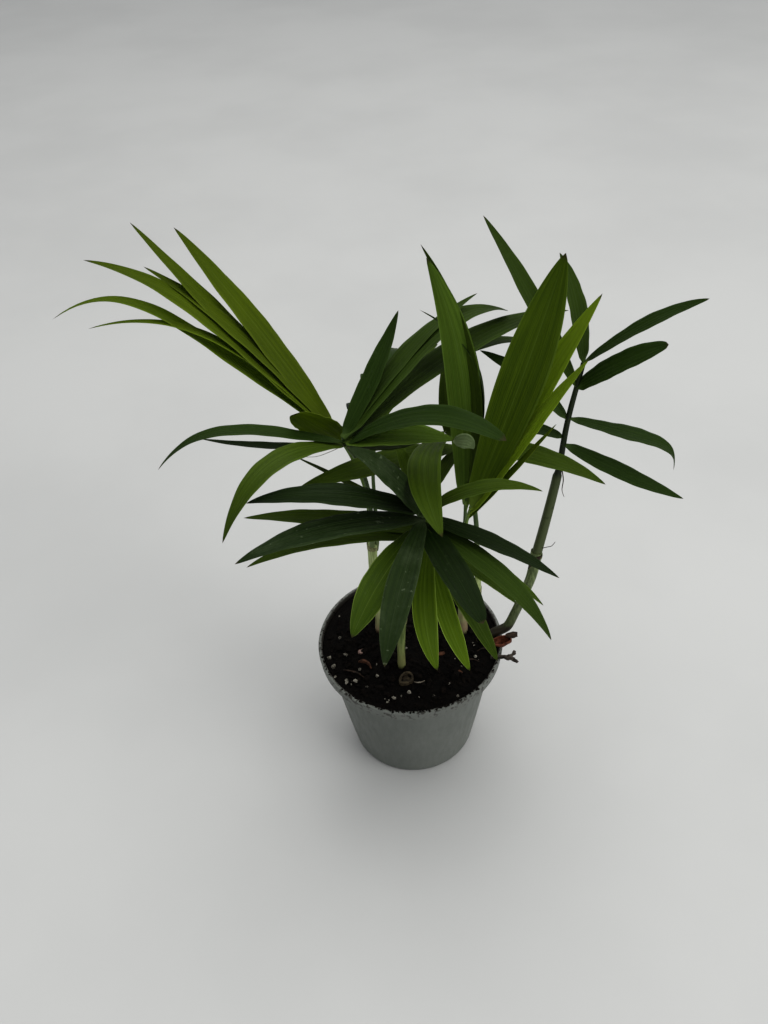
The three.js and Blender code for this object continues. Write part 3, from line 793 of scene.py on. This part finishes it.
def potFinish():
    # dust on the collar, peat specks along the rim, and soil stain with painted shade on the inner wall above
    # the soil
    finish, tree, shader = newFinish("greyGreenPlastic")
    place, height = placeAndHeight(tree)
    limits = {name: (low * mm, high * mm) for name, (low, high) in potDirtAndShade.items()}
    broad = cloudy(tree, place, 38, 4, 0.6)
    scuffs = cloudy(tree, objectPlace(tree, (1, 1, 0.25)), 520, 4, 0.65)
    specks = cloudy(tree, place, 760, 2, 0.5)
    dusty = math2(tree, "MULTIPLY", ramp(tree, height, *limits["band"]),
                  ramp(tree, scuffs, 0.40, 0.68, 0.05, 0.3))
    rimDirt = math2(tree, "MULTIPLY", ramp(tree, height, *limits["rim"]), ramp(tree, specks, 0.52, 0.62))
    flat = addNode(tree, "VectorMath", {0: place, 1: (1, 1, 0)}, operation="MULTIPLY").outputs[0]
    reach = addNode(tree, "VectorMath", {0: flat}, operation="LENGTH").outputs["Value"]
    ragged = math2(tree, "ADD", reach, math2(tree, "MULTIPLY", specks, potRagged * mm))
    # the inner wall above the soil and the inner part of the lip go nearly black with a ragged edge: soil
    # stain and painted shade
    inside = math2(tree, "MULTIPLY", ramp(tree, ragged, *limits["inside"], 0.9, 0),
                   ramp(tree, height, *limits["above"]))
    colour = blendColour(tree, ramp(tree, broad, 0.3, 0.7), potLook["dark"], potLook["light"])
    colour = layered(tree, colour, [
        (dusty, potLook["dust"]),
        (ramp(tree, scuffs, 0.60, 0.78, 0, 0.08), potLook["dust"]),
        (math2(tree, "MAXIMUM", math2(tree, "MULTIPLY", rimDirt, 0.8), inside), potLook["dirtAndShade"]),
    ])
    rough = ramp(tree, scuffs, 0.3, 0.75, potLook["rough"] - 0.08, potLook["rough"] + 0.16)
    relief = math2(tree, "ADD", cloudy(tree, place, 1500, 2), math2(tree, "MULTIPLY", scuffs, 0.4))
    setSurface(tree, shader, colour, rough, potLook["specular"], relief, potLook["bump"])
    return finish


def growRing(extrude, ring, following):
    # pulls the chosen edges from one ring of radius and height to the next
    extrude(TRANSFORM_OT_translate={"value": (0, 0, (following[1] - ring[1]) * mm)})
    grow = following[0] / ring[0]
    bpy.ops.transform.resize(value=(grow, grow, 1), center_override=(0, 0, 0))
    return following


def potProfile():
    # up the outside from the rounded foot, over the lip and down the inside to the floor
    rounding, soft, inner, corner = pot["footRounding"], pot["lipSoft"], pot["innerRound"], pot["floorRound"]
    turns = [math.pi / 2 * step / pot["footSteps"] for step in range(pot["footSteps"] + 1)]
    foot = [(pot["baseRadius"] - rounding + rounding * math.sin(turn), rounding - rounding * math.cos(turn))
            for turn in turns]
    outside = [(wallRadius(collarFoot * share), collarFoot * share) for share in (0.3, 0.6, 0.9, 1.0)]
    neck, flareTop = wallRadius(collarFoot), collarFoot + pot["collarFlare"]
    rim, top, wall, floor = pot["rimRadius"], pot["height"], pot["wall"], pot["floor"]
    return foot + outside + [
        (lerp(neck, collarRadius, pot["flareBend"]), collarFoot + pot["flareEase"]),
        (lerp(neck, collarRadius, 1 - pot["flareBend"]), flareTop - pot["flareEase"]),
        (collarRadius, flareTop),
        (rim - soft, top - pot["lipFoot"]),
        (rim, top - pot["lipRound"]),
        (rim - soft, top - soft),
        (rim - pot["lipRound"], top),
        (rim - wall + inner, top),
        (rim - wall, top - inner),
        (collarRadius - wall, flareTop),
        (neck - wall, collarFoot),
        (wallRadius(top / 2) - wall, top / 2),
        (wallRadius(floor) - wall, floor + corner),
        (wallRadius(floor) - wall - corner, floor),
    ]


def drillHole(cup, angle):
    spot = (pot["holeCircle"] * math.cos(angle) * mm, pot["holeCircle"] * math.sin(angle) * mm, 0)
    clearSelection()
    bpy.ops.mesh.primitive_cylinder_add(vertices=32, radius=pot["holeRadius"] * mm,
                                        depth=pot["floor"] * 3 * mm, location=spot)
    drill = startPiece("drill")
    applyModifier(cup, "BOOLEAN", operation="DIFFERENCE", solver="EXACT", object=drill)
    bpy.data.objects.remove(drill)


def buildPot():
    clearSelection()
    ring, *rest = potProfile()
    bpy.ops.mesh.primitive_circle_add(vertices=pot["sides"], radius=ring[0] * mm, location=(0, 0, 0))
    cup = startPiece("pot_cup")
    editAll()
    for following in rest:
        ring = growRing(bpy.ops.mesh.extrude_region_move, ring, following)
    bpy.ops.mesh.edge_face_add()
    selectWhere(cup, lambda co: co.z < 1e-6)
    bpy.ops.mesh.edge_face_add()
    bpy.ops.mesh.inset(thickness=pot["footBand"] * mm, depth=0)
    bpy.ops.mesh.inset(thickness=pot["footSlope"] * mm, depth=pot["footRing"] * mm)
    endEdit()
    for i in range(pot["holes"]):
        drillHole(cup, 2 * math.pi * (i + 0.5) / pot["holes"])
    tidyNormals(cup, 32)
    dress(cup, potFinish())
    hand(cup, "pot_plastic", "pot")


buildPot()
print("pot is moulded")


# Soil: a lumpy damp peat filling, lower along the back wall

soil = dict(top=soilTop, edgeDrop=0.5, backDrop=1.5, lump=0.55, rings=30, sides=120, bottom=2.15, gap=0.12,
            flareLift=0.15, topDepth=0.5)
peatWarm = (0.035, 0.021, 0.013)
peatRough = 0.95


def innerRadius(height):
    flared = smoothStep(0, pot["collarFlare"], height - collarFoot)
    outer = lerp(wallRadius(min(height, collarFoot)), collarRadius, flared)
    return outer - pot["wall"] - soil["gap"]


def soilHeight(x, y):
    reach = math.hypot(x, y) / innerRadius(soil["top"])
    height = soil["top"] - soil["edgeDrop"] * smoothStep(0.9, 1.0, reach)
    height -= soil["backDrop"] * smoothStep(2, 24, y) * smoothStep(0.35, 1.0, reach)
    height += soil["lump"] * noise.noise(Vector((x, y, 3)) * 0.22)
    height += soil["lump"] * 0.5 * noise.noise(Vector((x, y, 9)) * 0.75)
    return height


def peatFinish(name, dark, light):
    finish, tree, shader = newFinish(name)
    place = objectPlace(tree)
    clods = cloudy(tree, place, 420, 6, 0.7)
    grains = cloudy(tree, place, 2200, 3, 0.6)
    colour = blendColour(tree, ramp(tree, clods, 0.35, 0.68), dark, light)
    colour = blendColour(tree, ramp(tree, grains, 0.64, 0.78, 0, 0.4), colour, peatWarm)
    rough = ramp(tree, grains, 0.3, 0.7, peatRough - 0.2, peatRough)
    height = math2(tree, "ADD", clods, math2(tree, "MULTIPLY", grains, 0.5))
    setSurface(tree, shader, colour, rough, 0.12, height, (0.9, 0.7))
    return finish


def grainyFinish(name, dark, light, scale, rough, depth=0.3):
    finish, tree, shader = newFinish(name)
    place = objectPlace(tree)
    cloud = cloudy(tree, place, scale, 4, 0.6)
    fine = cloudy(tree, place, scale * 4, 3, 0.6)
    colour = blendColour(tree, ramp(tree, cloud, 0.35, 0.65), dark, light)
    uneven = ramp(tree, fine, 0.3, 0.7, rough - 0.12, rough + 0.08)
    setSurface(tree, shader, colour, uneven, 0.2, math2(tree, "ADD", cloud, fine), (0.6, depth))
    return finish


peat = peatFinish("dampPeat", (0.0012, 0.0009, 0.0007), (0.005, 0.0036, 0.0026))
crumbPeat = peatFinish("looseCrumb", (0.0018, 0.0013, 0.001), (0.008, 0.0055, 0.0038))
perliteWhite = grainyFinish("perliteGrain", (0.07, 0.064, 0.05), (0.34, 0.32, 0.27), 700, 0.8)
barkBrown = grainyFinish("barkChip", (0.030, 0.014, 0.008), (0.10, 0.045, 0.024), 700, 0.8)
fibrePale = grainyFinish("dryFibre", (0.13, 0.11, 0.085), (0.28, 0.25, 0.20), 600, 0.7, 0.1)
rootDark = grainyFinish("oldRoot", (0.013, 0.009, 0.006), (0.050, 0.033, 0.023), 700, 0.75, 0.15)


def fillSoil():
    clearSelection()
    bottom, top = soil["bottom"], soil["top"]
    flareFoot = collarFoot + soil["flareLift"]
    heights = (lerp(bottom, top, 0.5), flareFoot, flareFoot + pot["collarFlare"], top)
    rings = [(innerRadius(height), height) for height in heights]
    rings += [(innerRadius(top) * (i - 0.75) / soil["rings"], top) for i in range(soil["rings"], 0, -1)]
    ring = (innerRadius(bottom), bottom)
    bpy.ops.mesh.primitive_circle_add(vertices=soil["sides"], radius=ring[0] * mm, fill_type="NGON",
                                      location=(0, 0, bottom * mm))
    filling = startPiece("soil_filling")
    bpy.ops.object.mode_set(mode="EDIT")
    bpy.ops.mesh.select_mode(type="EDGE")
    bpy.ops.mesh.select_all(action="SELECT")
    bpy.ops.mesh.region_to_loop()
    for following in rings:
        ring = growRing(bpy.ops.mesh.extrude_edges_move, ring, following)
    bpy.ops.mesh.edge_face_add()
    endEdit()
    for vert in filling.data.vertices:
        x, y, z = vert.co / mm
        if z > top - soil["topDepth"]:
            vert.co.z = soilHeight(x, y) * mm
    tidyNormals(filling, 60)
    dress(filling, peat)
    hand(filling, "potting_soil", "soil")


# Crumbs, clods and perlite: copies of two lumps, each at its own size, turn and squash

crumbs = dict(count=1500, low=0, high=27.0, sizes=(0.25, 0.75), lift=0.3)
clods = dict(count=150, low=0, high=25.5, sizes=(0.7, 1.6), lift=0.15)
fineGrains = dict(count=26, low=2, high=26, sizes=(0.2, 0.42), lift=0.7)
rimCrumbs = dict(count=150, middle=-92, spread=44, sizes=(0.16, 0.5), reach=(27.8, 29.0), lipReach=28.2,
                 insideDrop=0.5, lift=0.25)
perlite = dict(sizes=(0.38, 0.72), lift=0.35, spots=[
    (-22.6, 2.9), (-20.7, -4.3), (-26, -5), (-24.6, -8.8), (-24.1, -12.7), (-22.8, 12.6), (-16.4, -10.6),
    (-11.1, -13.7), (-17.8, -15.3), (-20.5, -15.1), (-14.3, -17.4), (-6.3, -22.5), (5.8, -22.8), (-1.5, -3.1),
    (-1.6, -20.8), (-8.3, -23.8), (12.9, -23), (20, -8.3)])


def lumpShape(subdivisions, rough):
    clearSelection()
    bpy.ops.mesh.primitive_ico_sphere_add(subdivisions=subdivisions, radius=1, location=(0, 0, 0))
    lump = startPiece("lump")
    corners = []
    for vert in lump.data.vertices:
        dent = noise.noise(vert.co * 1.7 + Vector((4, 1, 7)))
        corners.append(vert.co * (1 + rough * dent))
    faces = [tuple(polygon.vertices) for polygon in lump.data.polygons]
    bpy.data.objects.remove(lump)
    return corners, faces


def scatter(name, shape, places, finish, smoothAngle):
    corners, shapeFaces = shape
    verts, faces = [], []
    for spot, size in places:
        angle = chance.uniform(*anyTurn)
        turn = Matrix.Rotation(angle, 3, Vector((chance.gauss(0, 1), chance.gauss(0, 1), 1)))
        squash = Vector([size * chance.uniform(*share) for share in ((0.7, 1.3), (0.7, 1.3), (0.5, 0.95))])
        start = len(verts)
        for corner in corners:
            verts.append(spot + turn @ Vector([side * share for side, share in zip(corner, squash)]))
        faces += [tuple(start + i for i in face) for face in shapeFaces]
    piece = meshPiece(name, verts, faces)
    dress(piece, finish)
    tidyNormals(piece, smoothAngle)
    hand(piece, "potting_soil")


def onSoil(x, y, lift):
    return Vector((x, y, soilHeight(x, y) + lift))


def randomOnSoil(count, low, high, sizes, lift):
    places = []
    for _ in range(count):
        angle, reach = chance.uniform(0, 2 * math.pi), math.sqrt(chance.uniform(low ** 2, high ** 2))
        size = chance.uniform(*sizes) * chance.uniform(0.6, 1)
        places.append((onSoil(reach * math.cos(angle), reach * math.sin(angle), size * lift), size))
    return places


def rimPlaces():
    # crumbs that lie on the rim, thickest along its front
    places = []
    for _ in range(rimCrumbs["count"]):
        angle = math.radians(chance.gauss(rimCrumbs["middle"], rimCrumbs["spread"]))
        size = chance.uniform(*rimCrumbs["sizes"])
        reach = chance.uniform(*rimCrumbs["reach"])
        height = pot["height"] if reach > rimCrumbs["lipReach"] else pot["height"] - rimCrumbs["insideDrop"]
        height += size * rimCrumbs["lift"]
        places.append((Vector((reach * math.cos(angle), reach * math.sin(angle), height)), size))
    return places


def scatterSoilBits():
    crumb = lumpShape(1, 0.9)
    coarse = lumpShape(2, 0.7)
    scatter("peat_crumbs", crumb, randomOnSoil(**crumbs), crumbPeat, 30)
    scatter("peat_clods", coarse, randomOnSoil(**clods), crumbPeat, 50)
    scatter("rim_crumbs", crumb, rimPlaces(), crumbPeat, 30)
    grains = [(onSoil(x, y, perlite["lift"]), chance.uniform(*perlite["sizes"])) for x, y in perlite["spots"]]
    scatter("perlite", coarse, grains + randomOnSoil(**fineGrains), perliteWhite, 50)


# Chips, fibres and old roots that lie on the soil

chips = [
    dict(name="pale_chip", place=(-15.8, -3.3), turn=70, size=(3.4, 2.0, 0.8), colour="pale"),
    dict(name="bark_chip", place=(9.5, -6.2), turn=25, size=(3.6, 1.5, 0.7), colour="bark"),
    dict(name="bark_sliver", place=(-7.5, 12.5), turn=120, size=(4.4, 1.2, 0.6), colour="bark"),
    dict(name="bark_piece", place=(7.5, 19.5), turn=-20, size=(3.4, 2.1, 0.9), colour="bark"),
    dict(name="bark_flake", place=(14.5, -14.0), turn=-50, size=(2.6, 1.4, 0.6), colour="bark"),
]
chipForm = dict(lift=0.25, lean=0.25, cuts=7, rounding=0.35, grain=1100, rough=0.16)
chipFinishes = dict(bark=barkBrown)
chipFinishes["pale"] = grainyFinish("paleChip", (0.13, 0.08, 0.07), (0.30, 0.21, 0.18), 600, 0.75)


def layChip(chip):
    clearSelection()
    lean = (-chipForm["lean"], chipForm["lean"])
    middle = onSoil(*chip["place"], chipForm["lift"]) * mm
    bpy.ops.mesh.primitive_cube_add(size=1, location=tuple(middle))
    piece = startPiece(chip["name"])
    piece.scale = [side * mm for side in chip["size"]]
    piece.rotation_euler = (chance.uniform(*lean), chance.uniform(*lean), math.radians(chip["turn"]))
    settle(piece)
    editAll()
    bpy.ops.mesh.subdivide(number_cuts=chipForm["cuts"])
    endEdit()
    for vert in piece.data.vertices:
        flat = Vector((vert.co.x - middle.x, vert.co.y - middle.y, 0))
        share = min((flat / (max(chip["size"]) / 2 * mm)).length, 1)
        vert.co -= flat * chipForm["rounding"] * share ** 2
        vert.co += noise.noise_vector(vert.co * chipForm["grain"]) * chipForm["rough"] * mm
    applyModifier(piece, "SUBSURF", levels=1, render_levels=1)
    tidyNormals(piece, 60)
    dress(piece, chipFinishes[chip["colour"]])
    hand(piece, "potting_soil")


tubeGrain = 900
plainWrinkle = 0.12


def drawTube(name, corners, radii, finish, sides=10, count=40, wrinkle=0.0):
    # a curve through the corners, thick as the radii say, made a mesh
    points, _ = evenPath(corners, count)
    clearSelection()
    bpy.ops.curve.primitive_bezier_curve_add(location=(0, 0, 0))
    curve = bpy.context.object
    curve.data.splines.clear()
    spline = curve.data.splines.new("POLY")
    spline.points.add(len(points) - 1)
    for i, (knot, point) in enumerate(zip(spline.points, points)):
        share = i / count * (len(radii) - 1)
        low = min(int(share), len(radii) - 2)
        knot.co = (*(point * mm), 1)
        knot.radius = lerp(radii[low], radii[low + 1], share - low)
    curve.data.dimensions = "3D"
    curve.data.bevel_depth = mm
    curve.data.bevel_resolution = max(sides // 4 - 1, 1)
    curve.data.use_fill_caps = True
    bpy.ops.object.convert(target="MESH")
    piece = startPiece(name)
    pickOnly(piece)
    editAll()
    bpy.ops.mesh.remove_doubles(threshold=1e-7)
    endEdit()
    if wrinkle:
        for vert in piece.data.vertices:
            vert.co += noise.noise_vector(vert.co * tubeGrain) * wrinkle * mm
    tidyNormals(piece, 60)
    dress(piece, finish)
    return piece


strands = [
    dict(name="white_fibre", radii=(0.12, 0.2, 0.12), colour="pale",
         corners=[(0.2, -17, 43.3), (1.2, -17.9, 43.9), (2.6, -17.7, 44), (3.4, -17, 43.4)]),
    dict(name="curled_sheath", radii=(0.3, 0.75, 0.6, 0.2), colour="bark",
         corners=[(-16.6, -8, 43.4), (-15.4, -8.6, 44.3), (-13.8, -9.3, 44.2), (-12.8, -11, 43.4)]),
    dict(name="left_root", radii=(0.2, 0.3, 0.2), colour="root",
         corners=[(-21.5, -10.5, 43), (-19.5, -11.6, 43.8), (-17, -12.4, 43.4), (-15, -14, 42.8)]),
    dict(name="cross_root", radii=(0.12, 0.24, 0.2, 0.1), colour="root",
         corners=[(15, -10.6, 42.8), (16.6, -10.2, 43.4), (19, -9.9, 43.5), (21, -10.3, 42.8)]),
    dict(name="rim_root", radii=(0.12, 0.22, 0.18), colour="root",
         corners=[(20.6, -6.2, 42.8), (22.2, -6, 43.7), (24, -6.4, 43.8), (25.4, -7.6, 43)]),
    dict(name="back_root", radii=(0.2, 0.34, 0.2), colour="root",
         corners=[(-3, 14, 41.8), (1, 16.5, 43.2), (5.5, 16.4, 43), (9, 14.2, 41.8)]),
    dict(name="forked_root", radii=(0.5, 0.8, 0.55, 0.9, 0.6), colour="grey", wrinkle=0.3,
         corners=[(24.6, -9.6, 43.6), (27.4, -10.5, 44.6), (29.6, -11.3, 45.1), (31.6, -12.2, 45.1)]),
    dict(name="forked_root_up", radii=(0.45, 0.7, 0.5, 0.75, 0.4), colour="grey", wrinkle=0.3,
         corners=[(29.4, -11.2, 45.1), (30.6, -10.9, 45.5), (31.6, -10.4, 45.9), (32, -9.7, 46.1)]),
    dict(name="forked_root_down", radii=(0.4, 0.6, 0.45), colour="grey", wrinkle=0.3,
         corners=[(30.4, -11.7, 45.1), (31.4, -12.3, 44.9), (32.4, -13.2, 44.8)]),
    dict(name="dark_knob", radii=(0.7, 1.0, 1.1, 0.7), colour="root", wrinkle=0.2,
         corners=[(30, -4.6, 47.4), (31.2, -4.9, 47.9), (32.4, -5, 48.2), (33.4, -5, 48.2)]),
]
rootGrey = grainyFinish("greyRoot", (0.018, 0.015, 0.012), (0.070, 0.058, 0.048), 700, 0.75, 0.15)
strandFinishes = dict(pale=fibrePale, bark=barkBrown, root=rootDark, grey=rootGrey)


def layStrand(strand, slotName, wrinkle):
    finish = strandFinishes[strand["colour"]]
    piece = drawTube(strand["name"], strand["corners"], strand["radii"], finish, wrinkle=wrinkle)
    hand(piece, slotName)


fillSoil()
scatterSoilBits()
for chip in chips:
    layChip(chip)
for strand in strands:
    layStrand(strand, "potting_soil", strand.get("wrinkle", plainWrinkle))
print("soil is filled")


# Stem finishes and surfaces: ribbed sheaths with a lip at each mouth and a soil stain at the foot

stemTints = {
    "paleSheath": dict(dark=(0.21, 0.27, 0.10), light=(0.46, 0.54, 0.25), foot=(0.27, 0.185, 0.125),
                       footTop=58, stain=(42.8, 44.8)),
    "yellowSheath": dict(dark=(0.10, 0.14, 0.045), light=(0.24, 0.29, 0.11), foot=(0.24, 0.23, 0.10),
                         footTop=58, stain=(42.8, 44.8)),
    "greySheath": dict(dark=(0.060, 0.082, 0.032), light=(0.165, 0.205, 0.090), foot=(0.040, 0.052, 0.020),
                       footTop=66, stain=(48.2, 50.2)),
}
soilStain = (0.016, 0.010, 0.007)
stainUneven = 1.6
sheathFoot = 44
stemRelief = dict(buried=3.0, count=72, sides=28, ribs=15, ribDepth=0.035, lumps=0.06, skinReach=0.3,
                  step=0.09, stepShare=0.004, footSwell=0.12, swellShare=0.06)
lipForm = dict(height=2.2, cuts=3, tight=0.04, loose=0.06, lower=0.25, cut=0.18, lean=0.55, turn=2.6,
               thick=0.1)


def sheathFinish(name, tint):
    finish, tree, shader = newFinish(name)
    place, height = placeAndHeight(tree)
    fibres = cloudy(tree, objectPlace(tree, (1, 1, 0.06)), 1500, 3, 0.6)
    blotch = cloudy(tree, place, 160, 4, 0.6)
    foot = math2(tree, "MULTIPLY", ramp(tree, height, sheathFoot * mm, tint["footTop"] * mm, 1, 0),
                 ramp(tree, blotch, 0.35, 0.6, 0.45, 1))
    uneven = math2(tree, "MULTIPLY_ADD", blotch, -stainUneven * mm)
    uneven.node.inputs[2].default_value = stainUneven / 2 * mm
    stainTop = [level * mm for level in tint["stain"]]
    colour = blendColour(tree, ramp(tree, fibres, 0.33, 0.66), tint["dark"], tint["light"])
    colour = layered(tree, colour, [
        (foot, tint["foot"]),
        (ramp(tree, blotch, 0.6, 0.78, 0, 0.6), tint["dark"]),
        (ramp(tree, math2(tree, "ADD", height, uneven), *stainTop, 0.9, 0), soilStain),
    ])
    rough = ramp(tree, blotch, 0.3, 0.7, 0.36, 0.55)
    setSurface(tree, shader, colour, rough, 0.25, fibres, (0.5, 0.12))
    return finish


sheathFinishes = {name: sheathFinish(name, tint) for name, tint in stemTints.items()}
dryLip = grainyFinish("drySheathLip", (0.13, 0.13, 0.06), (0.30, 0.31, 0.15), 800, 0.7, 0.08)


def raiseStem(name, stem):
    corners = [Vector(corner) for corner in stem["path"]]
    corners[0] = corners[0] - (corners[1] - corners[0]).normalized() * stemRelief["buried"]
    count = stemRelief["count"]

    def radiusAt(along):
        straight = lerp(stem["foot"], stem["tip"], along)
        radius = straight * lerp(1, sheathWaist, math.sin(math.pi * along))
        for mouth in stem["mouths"]:
            edge = stemRelief["stepShare"]
            radius += stemRelief["step"] * smoothStep(mouth + edge, mouth - edge, along)
        return radius + stemRelief["footSwell"] * math.exp(-along / stemRelief["swellShare"])

    trunk = drawTube("stem_" + name + "_trunk", corners, [radiusAt(i / count) for i in range(count + 1)],
                     sheathFinishes[stem["look"]], sides=stemRelief["sides"], count=count)
    points, _ = evenPath(corners, count)
    ways = directions(points)
    for vert in trunk.data.vertices:
        co = vert.co / mm
        nearest = min(range(len(points)), key=lambda i: (points[i] - co).length_squared)
        out = co - points[nearest]
        out -= ways[nearest] * out.dot(ways[nearest])
        if out.length > stemRelief["skinReach"]:
            angle = math.atan2(out.y, out.x)
            rib = math.cos(angle * stemRelief["ribs"]) * stemRelief["ribDepth"]
            lump = noise.noise(Vector((math.cos(angle), math.sin(angle), co.z * 0.05)) * 2)
            rib += stemRelief["lumps"] * lump
            vert.co += out.normalized() * rib * mm
    joinInto(trunk, [wrapLip(name, i, points, ways, mouth, radiusAt(mouth - 0.01))
                     for i, mouth in enumerate((*stem["mouths"], 1.0))])
    tidyNormals(trunk, 50)
    hand(trunk, "sheath", "stem_" + name)


def wrapLip(name, index, points, ways, mouth, radius):
    # a short open sleeve, cut slanting, that ends in a dry margin
    spot = min(int(mouth * stemRelief["count"]), stemRelief["count"])
    way = ways[spot]
    tall = lipForm["height"]
    turn = index * lipForm["turn"] + len(name)
    slant = way + Vector((math.cos(turn), math.sin(turn), 0)) * lipForm["lean"]
    middle = (points[spot] - way * tall * lipForm["lower"]) * mm
    clearSelection()
    bpy.ops.mesh.primitive_cone_add(vertices=stemRelief["sides"], radius1=(radius - lipForm["tight"]) * mm,
                                    radius2=(radius + lipForm["loose"]) * mm, depth=tall * mm,
                                    end_fill_type="NOTHING", location=middle)
    lip = startPiece("stem_" + name + "_lip" + str(index))
    lip.rotation_euler = way.to_track_quat("Z", "Y").to_euler()
    settle(lip)
    editAll()
    bpy.ops.mesh.subdivide(number_cuts=lipForm["cuts"])
    bpy.ops.mesh.select_all(action="SELECT")
    bpy.ops.mesh.bisect(plane_co=middle + way * tall * lipForm["cut"] * mm, plane_no=slant, clear_outer=True)
    endEdit()
    applyModifier(lip, "SOLIDIFY", thickness=lipForm["thick"] * mm, offset=1)
    dress(lip, sheathFinishes["greySheath"] if name == "right" else dryLip)
    return lip


for stemName, stemSettings in stems.items():
    raiseStem(stemName, stemSettings)
print("stems are raised")


# Cut stub of an older stem: a ring with a rough rim and a sunken core

stub = dict(place=(-2.2, -15.6), radius=2.3, topRadius=2.15, bore=1.5, foot=41.5, top=43.9, depth=1.0,
            coreTop=43, bevel=(0.18, 0.08), wallEdge=0.25, coreSlope=0.2, coreRise=(0.5, 0.25), rough=0.22)
stubTan = grainyFinish("cutStubTan", (0.020, 0.015, 0.009), (0.075, 0.058, 0.034), 700, 0.75)
stubCore = grainyFinish("cutStubCore", (0.014, 0.007, 0.004), (0.045, 0.024, 0.014), 800, 0.85)


def cutStub():
    clearSelection()
    x, y = [side * mm for side in stub["place"]]
    bpy.ops.mesh.primitive_circle_add(vertices=40, radius=stub["radius"] * mm, fill_type="NGON",
                                      location=(x, y, stub["foot"] * mm))
    ring = startPiece("cut_stub_ring")
    editAll()
    height = (stub["top"] - stub["foot"]) * mm
    bpy.ops.mesh.extrude_region_move(TRANSFORM_OT_translate={"value": (0, 0, height)})
    wallWidth = stub["topRadius"] - stub["bore"] - stub["wallEdge"]
    steps = (stub["bevel"], (wallWidth, 0), (stub["coreSlope"], -stub["depth"]), stub["coreRise"])
    for inward, rise in steps:
        bpy.ops.mesh.inset(thickness=inward * mm, depth=rise * mm)
    endEdit()
    coreTop = stub["coreTop"] * mm
    for vert in ring.data.vertices:
        out = Vector((vert.co.x - x, vert.co.y - y, 0))
        angle = math.atan2(out.y, out.x)
        vert.co += out * (0.05 * math.cos(angle * 9) + 0.07 * math.sin(angle * 2 + 1))
        if vert.co.z > coreTop:
            vert.co.z += stub["rough"] * mm * noise.noise(vert.co * 420)
    tidyNormals(ring, 35)
    dress(ring, stubTan, stubCore)
    for polygon in ring.data.polygons:
        away = Vector((polygon.center.x - x, polygon.center.y - y)).length
        if away < stub["bore"] * mm and polygon.center.z > coreTop:
            polygon.material_index = 1
    hand(ring, "sheath", "cut_stub")


# Seed coat at the foot of the right stem: a thin crumpled shell, open at its top

husk = dict(place=(28.3, -5.8, 46.5), radii=(3.6, 1.8, 2.1), tilt=-14, wall=0.28, skin=0.1, opening=0.75,
            slant=(-0.25, -0.2, 1), grain=520, crumple=0.34)
huskRed = grainyFinish("seedCoat", (0.055, 0.016, 0.008), (0.19, 0.065, 0.034), 600, 0.6)


def layHusk():
    clearSelection()
    bpy.ops.mesh.primitive_uv_sphere_add(segments=40, ring_count=24, radius=1, location=(0, 0, 0))
    coat = startPiece("seed_coat")
    middle = Vector(husk["place"]) * mm
    coat.scale = [(radius - husk["skin"]) * mm for radius in husk["radii"]]
    coat.rotation_euler = (0, math.radians(husk["tilt"]), 0)
    coat.location = middle
    settle(coat)
    editAll()
    bpy.ops.mesh.bisect(plane_co=middle + up * husk["opening"] * mm, plane_no=husk["slant"], clear_outer=True)
    endEdit()
    for vert in coat.data.vertices:
        vert.co += noise.noise_vector(vert.co * husk["grain"]) * husk["crumple"] * mm
    applyModifier(coat, "SOLIDIFY", thickness=husk["wall"] * mm, offset=-1)
    applyModifier(coat, "SUBSURF", levels=1, render_levels=1)
    tidyNormals(coat, 60)
    dress(coat, huskRed)
    hand(coat, "husk", "seed_husk")


# Torn edge of the right sheath, wound part of the way round its stem, and dry hairs on the stalks

mouthFlap = dict(name="mouth_flap", stem="right", count=100, shares=(0.84, 0.9, 0.95, 0.98, 1.0),
                 turns=(-175, -140, -105, -70, -35), reach=1.72, radii=(0.1, 0.4, 0.7, 0.75, 0.15),
                 colour="root")
hairs = [
    dict(name="grey_hair", radii=(0.12, 0.1, 0.08), colour="grey",
         corners=[(40.9, 5, 75.2), (42.4, 4.2, 76.4), (43.6, 4, 76.9), (44.6, 4, 78.5)]),
    dict(name="dead_strand", radii=(0.2, 0.14, 0.08), colour="root",
         corners=[(45.6, 9.6, 102.2), (46.2, 8.6, 98.6), (46, 8, 95.2), (46.8, 8, 92.5)]),
    dict(name="pale_hair", radii=(0.05, 0.08, 0.08), colour="pale",
         corners=[(-25.3, -10, 126.8), (-22, -9.4, 126.2), (-18.6, -7, 125.6), (-14.9, -2.6, 124.2)]),
]


def flapCorners():
    points, _ = evenPath(stems[mouthFlap["stem"]]["path"], mouthFlap["count"])
    ways = directions(points)
    corners = []
    for share, turn in zip(mouthFlap["shares"], mouthFlap["turns"]):
        spot = round(share * mouthFlap["count"])
        out = Vector((math.cos(math.radians(turn)), math.sin(math.radians(turn)), 0))
        out -= ways[spot] * out.dot(ways[spot])
        corners.append(points[spot] + out.normalized() * mouthFlap["reach"])
    return corners


for strand in (dict(mouthFlap, corners=flapCorners()), *hairs):
    layStrand(strand, "husk", 0)
cutStub()
layHusk()
print("stub, seed coat and hairs are placed")
